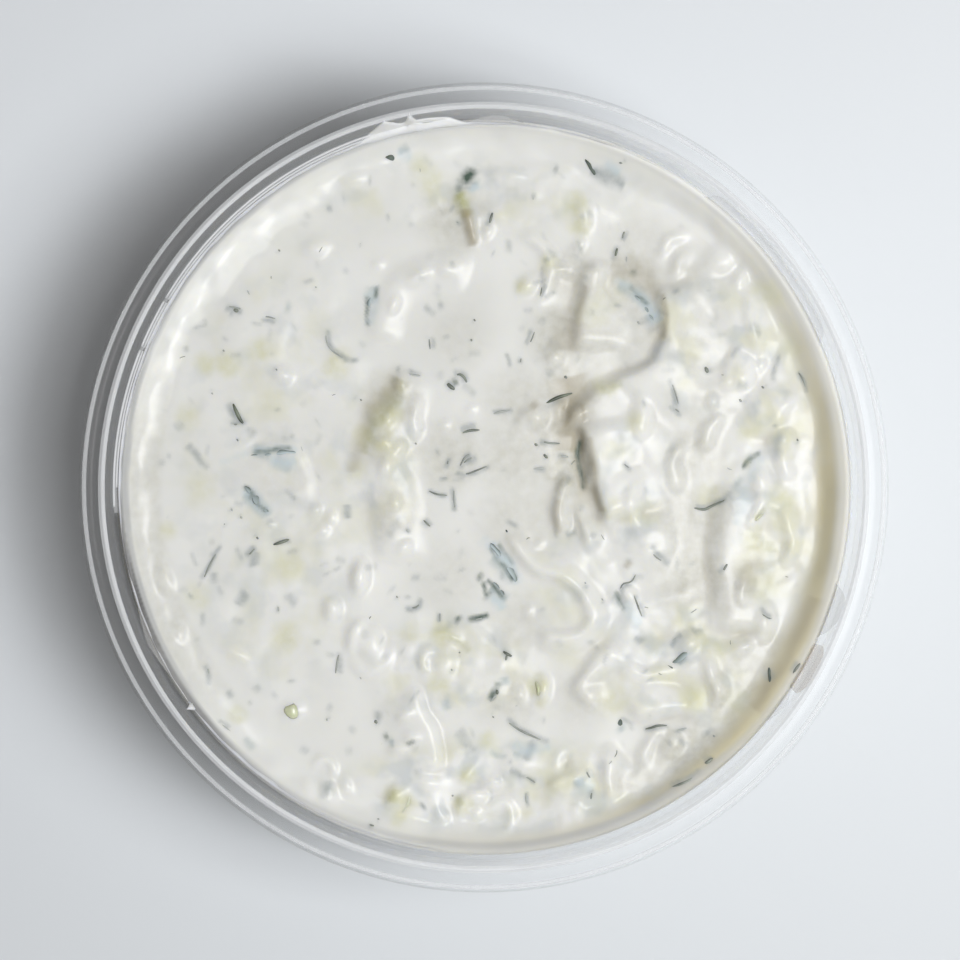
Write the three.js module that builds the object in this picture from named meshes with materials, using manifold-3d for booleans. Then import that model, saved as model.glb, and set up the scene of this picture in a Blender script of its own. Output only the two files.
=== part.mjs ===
// Tzatziki dip in its round clear plastic deli tub.
// Millimetres, +Z up. The origin is on the floor, under the middle of the tub.
import * as THREE from "three";
import { mergeVertices } from "three/addons/utils/BufferGeometryUtils.js";
import Module from "manifold-3d";

// ---- Driving dimensions ----

// Tub
const RIM_RADIUS = 58.5;
const TUB_HEIGHT = 46;
const WALL = 0.45;
const FOOT_RADIUS = 46.5;
const FOOT_WIDTH = 3.5;
const RECESS = 1.0;
const RECESS_SLOPE = 1.0;
const HEEL_RADIUS = 2.0;
const SKIRT_DEPTH = 3.4;
const LEDGE_DEPTH = 4.9;
const LEDGE_WIDTH = 0.8;
const LEDGE_SLOPE = 0.4;
const LEDGE_RADIUS = 54.0;
const SEAL_RADIUS = 54.6;
const SEAL_CHAMFER = 0.1;
const FLANGE_DEPTH = 0.5;
const FLANGE_END = 1.9;
const BEAD_RADIUS = 0.7;
const CREST_MIDDLE = 55.2;
const CREST_WIDTH = 1.0;
const CREST_HEIGHT = 0.25;
const CREST_STEPS = 4;
const TUB_SEGMENTS = 64;

// Dip
const GAP = 0.3;
const TROUGH_CLEARANCE = 0.6;
const FLOOR_CLEARANCE = 0.5;
const DIP_LEVEL = TUB_HEIGHT - 7.8;
const EDGE_RISE = 2.1;
const EDGE_START = 48.2;
const EDGE_END = 52.6;
const EARLY_AZIMUTH = -20;
const EARLY_REACH = 120;
const RELIEF_LIMIT = 2.9;
const DIP_RINGS = 25;

// Toppings
const DILL_RADIUS = 0.32;
const DILL_PROUD = 0.08;
const DILL_STEPS = 4;
const SHRED_THICKNESS = 0.9;
const SHRED_PROUD = 0.25;
const SHRED_STEPS = 3;

// Lumps of grated cucumber under the surface:
// x, y, half length, half width, turn of the length from +X in degrees, height.
const LUMPS = [
  [38.0, 24.5, 7.8, 5.6, 100, 0.9],
  [37.2, 17.0, 3.2, 2.1, 80, 0.9],
  [41.0, 11.0, 5.4, 4.4, 70, 0.9],
  [23.0, 9.7, 3.8, 2.8, 85, 0.9],
  [43.6, -4.4, 8.0, 4.2, 95, 1.0],
  [40.8, -20.2, 3.8, 2.8, 75, 0.8],
  [24.5, -8.0, 4.6, 3.6, 40, 0.7],
  [7.8, 10.4, 2.4, 2.2, 0, 0.9],
  [13.6, 10.0, 2.4, 2.2, 90, 0.9],
  [10.6, 19.2, 2.2, 1.8, 80, 0.7],
  [6.0, 30.1, 2.9, 1.9, 50, 0.8],
  [33.5, 33.5, 4.0, 3.0, 35, 0.8],
  [14.4, 40.0, 4.0, 1.8, 90, 0.6],
  [3.2, 45.0, 5.0, 2.6, 0, 0.7],
  [-24.6, 35.3, 2.8, 2.2, 0, 0.6],
  [-29.4, 16.3, 2.2, 1.9, 0, 0.6],
  [-24.0, -4.2, 3.8, 3.0, 20, 0.9],
  [-18.3, -13.4, 3.6, 2.0, 80, 1.2],
  [-22.1, -18.1, 2.8, 1.7, 90, 0.8],
  [-16.6, -22.3, 4.2, 3.4, 95, 1.2],
  [-5.6, -25.0, 3.8, 3.2, 70, 0.9],
  [-12.6, -34.6, 4.6, 3.4, 60, 1.0],
  [-23.2, -40.6, 2.5, 2.2, 0, 0.8],
  [-10.6, -45.0, 5.2, 3.2, 155, 1.0],
  [0.4, -46.6, 4.4, 3.6, 90, 1.1],
  [8.3, -28.8, 3.0, 2.3, 90, 0.8],
  [24.6, -30.8, 5.0, 2.2, 20, 1.0],
  [34.2, -27.4, 4.0, 2.6, 115, 1.0],
  [18.0, -40.6, 4.6, 3.4, 75, 1.1],
  [27.0, -37.4, 3.4, 2.4, 50, 0.7],
  [12.8, -45.0, 3.4, 2.4, 60, 0.8],
  [-45.6, -14.0, 4.2, 2.0, 105, 0.7],
];

// Folds of the stirred dip, steep on the left of their direction and gentle on the right:
// start x and y, end x and y, bend to the left, steep width, gentle width, height.
const FOLDS = [
  [-15.8, 21.5, -1.6, 32.4, 2.6, 2.4, 4.5, 0.7],
  [15.0, 18.6, 14.4, 31.0, 0.8, 1.4, 7.0, 1.1],
  [14.0, 11.4, 26.0, 29.4, -4.4, 1.4, 8.5, 1.6],
  [18.6, -5.5, 14.6, 9.0, 0.5, 1.2, 8.5, 1.7],
  [11.0, -7.0, 12.6, 2.4, 1.3, 1.0, 2.8, 1.3],
  [16.4, -9.4, 13.4, -2.6, 0.2, 1.0, 2.6, 1.1],
  [35.5, -21.0, 36.5, 0, 0.4, 3.2, 8.5, 1.3],
  [8.9, -21.1, 15.8, -17.3, -2.8, 1.3, 2.6, 0.8],
  [15.8, -17.3, 3.1, -6.4, -0.6, 1.3, 2.6, 0.8],
  [-12.8, -11.5, -10.8, 17.0, 1.8, 3.0, 5.0, 0.8],
  [-10.4, -29.0, -6.2, -41.4, 0.6, 1.8, 4.5, 1.0],
  [19.4, -22.4, 16.4, -32.8, 2.6, 1.4, 3.6, 0.9],
];

// Dill threads on the surface: x, y, turn from +X in degrees, length, bend.
const DILL = [
  [-35.7, 26.8, -28, 3.6, 0.2],
  [-30.6, 24.7, -9, 3.4, 0],
  [-20.8, 21.0, -38, 5.6, -1.1],
  [-35.8, 10.9, -62, 3.8, 0],
  [-39.5, -10.8, 60, 5.4, 0.2],
  [-31.0, -8.2, 16, 2.6, 0.2],
  [-40.2, -28.0, 80, 2.3, 0.3],
  [-21.3, -26.2, 82, 3.7, 0],
  [-10.2, -17.2, 30, 2.7, -0.4],
  [-4.0, 15.3, 40, 2.2, 0.6],
  [-1.5, 2.8, 15, 4.8, -0.5],
  [-1.8, 4.6, 50, 2.6, 0.4],
  [-4.4, -1.8, 92, 4.4, 0],
  [-6.7, -0.6, -14, 2.9, 0],
  [-1.8, 8.3, 6, 2.8, 0],
  [2.7, 11.1, 14, 3.0, 0.2],
  [11.5, 13.1, 20, 4.6, 0.3],
  [20.0, 35.7, 68, 4.4, 0.2],
  [1.3, 39.4, 75, 1.9, 0],
  [8.6, 28.0, 78, 4.0, 0],
  [32.4, 17.0, 78, 2.0, 0],
  [42.8, 17.5, 72, 4.0, 0.4],
  [27.4, 13.6, 115, 4.4, 0],
  [9.6, 6.6, -8, 3.4, 0],
  [33.4, -2.4, 18, 5.2, 0.5],
  [35.4, -11.6, 50, 2.2, 0.2],
  [24.8, -9.9, -40, 2.6, 0],
  [20.6, -14.6, 70, 4.6, 0.7],
  [6.0, -35.8, -30, 6.4, 0.5],
  [25.1, -34.9, 6, 3.9, 0.2],
  [29.0, -35.4, 14, 2.2, 0],
  [28.6, -41.8, 30, 4.6, 0.2],
  [6.6, -42.4, -32, 2.8, 0],
  [41.6, -18.9, -30, 2.4, 0],
];

// Cucumber skin shreds on the surface: x, y, turn from +X in degrees, length, width, bend.
const SHREDS = [
  [-2.3, 45.2, 60, 4.6, 1.7, 0.5],
  [-11.6, 48.4, 15, 4.2, 1.5, 0.4],
  [18.4, 45.6, -38, 6.0, 1.9, 0.3],
  [-15.9, 28.4, 75, 5.0, 1.5, 0.3],
  [22.4, 26.6, -40, 6.6, 1.6, 0.4],
  [-30.6, 4.0, 2, 7.4, 1.9, 0.3],
  [-33.4, -1.5, -42, 4.4, 2.2, 0],
  [2.0, -11.2, -62, 7.4, 1.7, -0.5],
  [1.1, -14.8, -52, 5.6, 1.6, 0.4],
  [39.4, 2.6, 42, 4.2, 1.6, 0.4],
  [41.0, -4.0, 48, 3.2, 1.3, 0.2],
  [28.6, -25.6, 30, 3.8, 2.0, 0.4],
  [19.9, -35.2, 70, 2.4, 1.8, 0],
  [2.1, -29.1, 62, 4.2, 1.5, 0.3],
  [-13.6, -36.5, 22, 3.8, 2.0, 0],
  [-28.0, -32.6, 10, 2.9, 2.1, 0.3],
  [41.4, -27.6, 75, 2.6, 1.7, 0],
  [14.2, -41.8, 20, 5.2, 1.6, 0.3],
];

// ---- Shared helpers ----

const wasm = await Module();
wasm.setup();

function arc(centreR, centreZ, radius, fromDegrees, toDegrees, steps) {
  const points = [];
  for (let i = 0; i <= steps; i += 1) {
    const angle = THREE.MathUtils.degToRad(fromDegrees + ((toDegrees - fromDegrees) * i) / steps);
    points.push([centreR + radius * Math.cos(angle), centreZ + radius * Math.sin(angle)]);
  }
  return points;
}

function toManifold(geometry) {
  const bare = geometry.clone();
  bare.deleteAttribute("normal");
  bare.deleteAttribute("uv");
  const merged = mergeVertices(bare, 1e-4);
  const vertProperties = new Float32Array(merged.attributes.position.array);
  const triVerts = new Uint32Array(merged.index.array);
  return new wasm.Manifold(new wasm.Mesh({ numProp: 3, vertProperties, triVerts }));
}

function toGeometry(manifold) {
  const mesh = manifold.getMesh();
  const geometry = new THREE.BufferGeometry();
  geometry.setAttribute("position", new THREE.BufferAttribute(mesh.vertProperties, 3));
  geometry.setIndex(new THREE.BufferAttribute(mesh.triVerts, 1));
  geometry.computeVertexNormals();
  return geometry;
}

// ---- Tub ----

const innerHeelRadius = HEEL_RADIUS - WALL;
const wallFoot = FOOT_RADIUS + innerHeelRadius;
const recessRadius = FOOT_RADIUS - FOOT_WIDTH;
const ledgeInner = LEDGE_RADIUS - LEDGE_WIDTH;
const ledgeTop = TUB_HEIGHT - LEDGE_DEPTH;
const wallTop = ledgeTop - LEDGE_SLOPE;
const flangeTop = TUB_HEIGHT - FLANGE_DEPTH;

// Radius of the tub's inner wall at a height between the heel and the stacking ledge.
function wallRadius(z) {
  const share = (z - HEEL_RADIUS) / (wallTop - HEEL_RADIUS);
  return THREE.MathUtils.lerp(wallFoot, ledgeInner, share);
}

// The seal ring's low round top, from the outside in.
function crestPoints() {
  const points = [];
  for (let i = 0; i <= CREST_STEPS; i += 1) {
    const share = (2 * i) / CREST_STEPS - 1;
    const rise = CREST_HEIGHT * (0.5 + 0.5 * Math.cos(Math.PI * share));
    points.push([CREST_MIDDLE - (CREST_WIDTH / 2) * share, flangeTop + rise]);
  }
  return points;
}

// The tub's section from the axis outwards under it, over the rim and back inside.
function tubProfile() {
  const beadCentre = RIM_RADIUS - BEAD_RADIUS;
  const beadHeight = TUB_HEIGHT - BEAD_RADIUS;
  const skirtFoot = TUB_HEIGHT - SKIRT_DEPTH;
  const slopeShift = WALL / 2;
  const outside = [
    [0, RECESS],
    [recessRadius - RECESS_SLOPE, RECESS],
    [recessRadius, 0],
    ...arc(FOOT_RADIUS, HEEL_RADIUS, HEEL_RADIUS, -90, 0, 3),
    [ledgeInner + WALL, wallTop - LEDGE_SLOPE],
    [LEDGE_RADIUS + WALL, ledgeTop - LEDGE_SLOPE / 2],
    [SEAL_RADIUS + WALL, flangeTop - WALL],
    [RIM_RADIUS - FLANGE_END, flangeTop - WALL],
    ...arc(beadCentre, beadHeight, BEAD_RADIUS - WALL, 120, 0, 2),
    [RIM_RADIUS - WALL, skirtFoot],
    [RIM_RADIUS, skirtFoot],
    ...arc(beadCentre, beadHeight, BEAD_RADIUS, 0, 125, 4),
    [RIM_RADIUS - FLANGE_END, flangeTop],
  ];
  const inside = [
    ...crestPoints(),
    [SEAL_RADIUS, flangeTop - SEAL_CHAMFER],
    [LEDGE_RADIUS, ledgeTop],
    [ledgeInner, wallTop],
    ...arc(FOOT_RADIUS, HEEL_RADIUS, innerHeelRadius, 0, -90, 3),
    [recessRadius + slopeShift, WALL],
    [recessRadius - RECESS_SLOPE + slopeShift, RECESS + WALL],
    [0, RECESS + WALL],
  ];
  return [...outside, ...inside].map(([r, z]) => new THREE.Vector2(r, z));
}

function makeTub() {
  const geometry = new THREE.LatheGeometry(tubProfile(), TUB_SEGMENTS);
  geometry.rotateX(Math.PI / 2);
  const material = new THREE.MeshStandardMaterial({
    color: "#dfe5e8",
    roughness: 0.12,
    metalness: 0,
    transparent: true,
    opacity: 0.3,
  });
  const mesh = new THREE.Mesh(toGeometry(toManifold(geometry)), material);
  mesh.name = "tub";
  return mesh;
}

// ---- Relief of the dip ----

function smooth(t) {
  const clamped = THREE.MathUtils.clamp(t, 0, 1);
  return clamped * clamped * (3 - 2 * clamped);
}

function lumpHeight(x, y, [centreX, centreY, halfLength, halfWidth, turn, height]) {
  const angle = THREE.MathUtils.degToRad(turn);
  const along = (x - centreX) * Math.cos(angle) + (y - centreY) * Math.sin(angle);
  const across = (y - centreY) * Math.cos(angle) - (x - centreX) * Math.sin(angle);
  const reach = (along / halfLength) ** 2 + (across / halfWidth) ** 2;
  return height * smooth(1 - Math.sqrt(reach));
}

// A point at a share of the way along a line that bends to the left.
function bentPoint(startX, startY, endX, endY, bend, share) {
  const length = Math.hypot(endX - startX, endY - startY);
  const side = 4 * bend * share * (1 - share);
  return [
    startX + (endX - startX) * share - ((endY - startY) / length) * side,
    startY + (endY - startY) * share + ((endX - startX) / length) * side,
  ];
}

function foldHeight(x, y, [startX, startY, endX, endY, bend, steep, gentle, height]) {
  const steps = 8;
  let best = 0;
  for (let i = 0; i < steps; i += 1) {
    const [ax, ay] = bentPoint(startX, startY, endX, endY, bend, i / steps);
    const [bx, by] = bentPoint(startX, startY, endX, endY, bend, (i + 1) / steps);
    const length = Math.hypot(bx - ax, by - ay);
    const along = ((x - ax) * (bx - ax) + (y - ay) * (by - ay)) / length ** 2;
    const nearest = THREE.MathUtils.clamp(along, 0, 1);
    const distance = Math.hypot(x - ax - (bx - ax) * nearest, y - ay - (by - ay) * nearest);
    const isLeft = (bx - ax) * (y - ay) - (by - ay) * (x - ax) > 0;
    best = Math.max(best, smooth(1 - distance / (isLeft ? steep : gentle)));
  }
  return height * best;
}

// Low waves left by the spoon all over the dip.
function stirredWaves(x, y) {
  return (
    0.16 * Math.sin(0.31 * x + 0.17 * y + 0.6) +
    0.13 * Math.sin(0.43 * y - 0.22 * x + 2.1) +
    0.09 * Math.sin(0.78 * x + 0.52 * y + 4.0)
  );
}

// How far the dip has climbed towards the wall: early on one side of the tub, late on the other.
function edgeClimb(x, y) {
  const share = THREE.MathUtils.clamp(
    (Math.hypot(x, y) - EDGE_START) / (EDGE_END - EDGE_START),
    0,
    1,
  );
  const azimuth = THREE.MathUtils.radToDeg(Math.atan2(y, x));
  const away = Math.abs(((azimuth - EARLY_AZIMUTH + 540) % 360) - 180);
  const early = smooth(1.5 * (1 - away / EARLY_REACH));
  return THREE.MathUtils.lerp(share ** 2, smooth(1.3 * share), early);
}

function dipHeight(x, y) {
  const lumps = LUMPS.reduce((sum, lump) => sum + lumpHeight(x, y, lump), 0);
  const folds = FOLDS.reduce((sum, fold) => sum + foldHeight(x, y, fold), 0);
  const relief = RELIEF_LIMIT * Math.tanh((lumps + folds + stirredWaves(x, y)) / RELIEF_LIMIT);
  const climb = edgeClimb(x, y);
  return DIP_LEVEL + relief * (1 - climb) + EDGE_RISE * climb;
}

// ---- Dip ----

function ringPoints(radius, count, height) {
  const points = [];
  for (let i = 0; i < count; i += 1) {
    const angle = (2 * Math.PI * i) / count;
    const x = radius * Math.cos(angle);
    const y = radius * Math.sin(angle);
    points.push(x, y, typeof height === "function" ? height(x, y) : height);
  }
  return points;
}

// Triangles between one ring of the disc and the next, which has six more points.
function discTriangles(ring, inner, outer) {
  const triangles = [];
  const innerCount = Math.max(6 * ring, 1);
  const outerCount = 6 * (ring + 1);
  for (let sector = 0; sector < 6; sector += 1) {
    for (let i = 0; i <= ring; i += 1) {
      const inside = inner + ((sector * ring + i) % innerCount);
      const outside = outer + sector * (ring + 1) + i;
      const next = outer + ((sector * (ring + 1) + i + 1) % outerCount);
      triangles.push(inside, outside, next);
      if (i < ring) {
        triangles.push(inside, next, inner + ((sector * ring + i + 1) % innerCount));
      }
    }
  }
  return triangles;
}

// The dip's body: an evenly meshed top with the relief, closed by the side and the underside.
function dipBody() {
  const edgeHeight = DIP_LEVEL + EDGE_RISE;
  const edge = wallRadius(edgeHeight) - GAP;
  const floor = RECESS + WALL + GAP;
  const trough = WALL + GAP;
  const positions = [0, 0, dipHeight(0, 0)];
  const triangles = [];
  let inner = 0;
  for (let ring = 0; ring < DIP_RINGS; ring += 1) {
    const outer = positions.length / 3;
    positions.push(...ringPoints((edge * (ring + 1)) / DIP_RINGS, 6 * (ring + 1), dipHeight));
    triangles.push(...discTriangles(ring, inner, outer));
    inner = outer;
  }
  const count = 6 * DIP_RINGS;
  const heelHeight = HEEL_RADIUS + GAP;
  const side = [
    [wallRadius(heelHeight) - GAP, heelHeight],
    [FOOT_RADIUS, trough],
    [recessRadius + TROUGH_CLEARANCE, trough],
    [recessRadius - RECESS_SLOPE + FLOOR_CLEARANCE, floor],
  ];
  for (const [radius, height] of side) {
    const outer = positions.length / 3;
    positions.push(...ringPoints(radius, count, height));
    for (let i = 0; i < count; i += 1) {
      const next = (i + 1) % count;
      triangles.push(inner + i, outer + i, inner + next);
      triangles.push(inner + next, outer + i, outer + next);
    }
    inner = outer;
  }
  const middle = positions.length / 3;
  positions.push(0, 0, floor);
  for (let i = 0; i < count; i += 1) {
    triangles.push(inner + i, middle, inner + ((i + 1) % count));
  }
  const geometry = new THREE.BufferGeometry();
  geometry.setAttribute("position", new THREE.Float32BufferAttribute(positions, 3));
  geometry.setIndex(triangles);
  return geometry;
}

// ---- Toppings ----

// Points of a bent line lying on the dip, given by its middle, turn, length and bend.
function lyingPoints(x, y, turn, length, bend, steps, lift) {
  const angle = THREE.MathUtils.degToRad(turn);
  const dx = (Math.cos(angle) * length) / 2;
  const dy = (Math.sin(angle) * length) / 2;
  const points = [];
  for (let i = 0; i <= steps; i += 1) {
    const [px, py] = bentPoint(x - dx, y - dy, x + dx, y + dy, bend, i / steps);
    points.push(new THREE.Vector3(px, py, dipHeight(px, py) + lift));
  }
  return points;
}

function dillThread([x, y, turn, length, bend]) {
  const path = new THREE.CatmullRomCurve3(
    lyingPoints(x, y, turn, length, bend, DILL_STEPS, DILL_PROUD),
  );
  const section = new THREE.Shape(
    arc(0, 0, DILL_RADIUS, 0, 288, 4).map(([u, v]) => new THREE.Vector2(u, v)),
  );
  return new THREE.ExtrudeGeometry(section, { steps: DILL_STEPS, extrudePath: path });
}

// A flat strip, widest in the middle, that follows the dip along its length.
function cucumberShred([x, y, turn, length, width, bend]) {
  const middle = lyingPoints(x, y, turn, length, bend, SHRED_STEPS, SHRED_PROUD);
  const angle = THREE.MathUtils.degToRad(turn);
  const outline = [];
  const side = (share) => {
    const half = (width / 2) * (0.45 + 0.55 * Math.sin(Math.PI * (0.1 + 0.8 * share)));
    return [-Math.sin(angle) * half, Math.cos(angle) * half];
  };
  middle.forEach((point, i) => {
    const [sideX, sideY] = side(i / SHRED_STEPS);
    outline.push(new THREE.Vector2(point.x - sideX, point.y - sideY));
  });
  [...middle].reverse().forEach((point, i) => {
    const [sideX, sideY] = side(1 - i / SHRED_STEPS);
    outline.push(new THREE.Vector2(point.x + sideX, point.y + sideY));
  });
  const options = { depth: SHRED_THICKNESS, bevelEnabled: false };
  const geometry = new THREE.ExtrudeGeometry(new THREE.Shape(outline), options);
  const position = geometry.attributes.position;
  for (let i = 0; i < position.count; i += 1) {
    const nearest = middle.reduce((best, point) => {
      const here = Math.hypot(point.x - position.getX(i), point.y - position.getY(i));
      return here < best.distance ? { distance: here, z: point.z } : best;
    }, { distance: Infinity, z: 0 });
    position.setZ(i, nearest.z - SHRED_THICKNESS + position.getZ(i));
  }
  return geometry;
}

function makeDip() {
  const toppings = [...DILL.map(dillThread), ...SHREDS.map(cucumberShred)];
  const fused = toppings.reduce(
    (whole, topping) => whole.add(toManifold(topping)),
    toManifold(dipBody()),
  );
  const material = new THREE.MeshStandardMaterial({
    color: "#ecebe3",
    roughness: 0.32,
    metalness: 0,
  });
  const mesh = new THREE.Mesh(toGeometry(fused), material);
  mesh.name = "dip";
  return mesh;
}

// ---- Whole ----

const tzatziki = new THREE.Group();
tzatziki.add(makeTub());
tzatziki.add(makeDip());

export default tzatziki;
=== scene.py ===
"""Tzatziki dip in its clear tub: the looks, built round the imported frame. Metres, +Z up."""
import math
import random

import bpy
import numpy as np
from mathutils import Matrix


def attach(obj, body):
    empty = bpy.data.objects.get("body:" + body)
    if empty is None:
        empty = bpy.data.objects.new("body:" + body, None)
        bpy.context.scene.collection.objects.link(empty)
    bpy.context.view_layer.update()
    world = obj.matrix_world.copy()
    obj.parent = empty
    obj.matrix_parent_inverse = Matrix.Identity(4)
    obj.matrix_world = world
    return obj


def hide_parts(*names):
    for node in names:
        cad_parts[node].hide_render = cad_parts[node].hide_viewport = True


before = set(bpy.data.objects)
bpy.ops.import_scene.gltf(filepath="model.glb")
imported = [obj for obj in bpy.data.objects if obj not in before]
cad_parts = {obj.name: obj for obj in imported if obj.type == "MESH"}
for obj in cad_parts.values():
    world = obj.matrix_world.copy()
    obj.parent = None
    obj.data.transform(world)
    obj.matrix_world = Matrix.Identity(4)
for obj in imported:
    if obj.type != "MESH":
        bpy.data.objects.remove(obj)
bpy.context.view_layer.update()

MM = 0.001

# ---- The tub's and the dip's sizes, as in the solids. Millimetres ----

RIM_RADIUS = 58.5
TUB_HEIGHT = 46.0
WALL = 0.45
FOOT_RADIUS = 46.5
FOOT_WIDTH = 3.5
RECESS = 1.0
HEEL_RADIUS = 2.0
SKIRT_DEPTH = 3.4
LEDGE_DEPTH = 4.9
LEDGE_WIDTH = 0.8
LEDGE_RADIUS = 54.0
SEAL_RADIUS = 54.6
FLANGE_DEPTH = 0.5
BEAD_RADIUS = 0.7
CREST_MIDDLE = 55.2
CREST_WIDTH = 1.0
CREST_HEIGHT = 0.25
TUB_SEGMENTS = 288
SUPPORT = 0.06

DIP_LEVEL = TUB_HEIGHT - 7.8
EDGE_RISE = 2.1
EDGE_START = 48.2
EDGE_END = 52.6
RELIEF_LIMIT = 2.9
DIP_RINGS = 166
INTO_WALL = 0.35
SIDE_CROWD = 0.55

INNER_HEEL = HEEL_RADIUS - WALL
WALL_FOOT = FOOT_RADIUS + INNER_HEEL
RECESS_RADIUS = FOOT_RADIUS - FOOT_WIDTH
LEDGE_INNER = LEDGE_RADIUS - LEDGE_WIDTH
LEDGE_TOP = TUB_HEIGHT - LEDGE_DEPTH
LEDGE_DIP = 0.4
WALL_TOP = LEDGE_TOP - LEDGE_DIP
FLANGE_TOP = TUB_HEIGHT - FLANGE_DEPTH
FLANGE_END = RIM_RADIUS - 1.9
SEAL_DIP = 0.1
BEAD_CENTRE = (RIM_RADIUS - BEAD_RADIUS, TUB_HEIGHT - BEAD_RADIUS)

# ---- What lies where on the dip. Millimetres from the tub's middle ----

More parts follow.
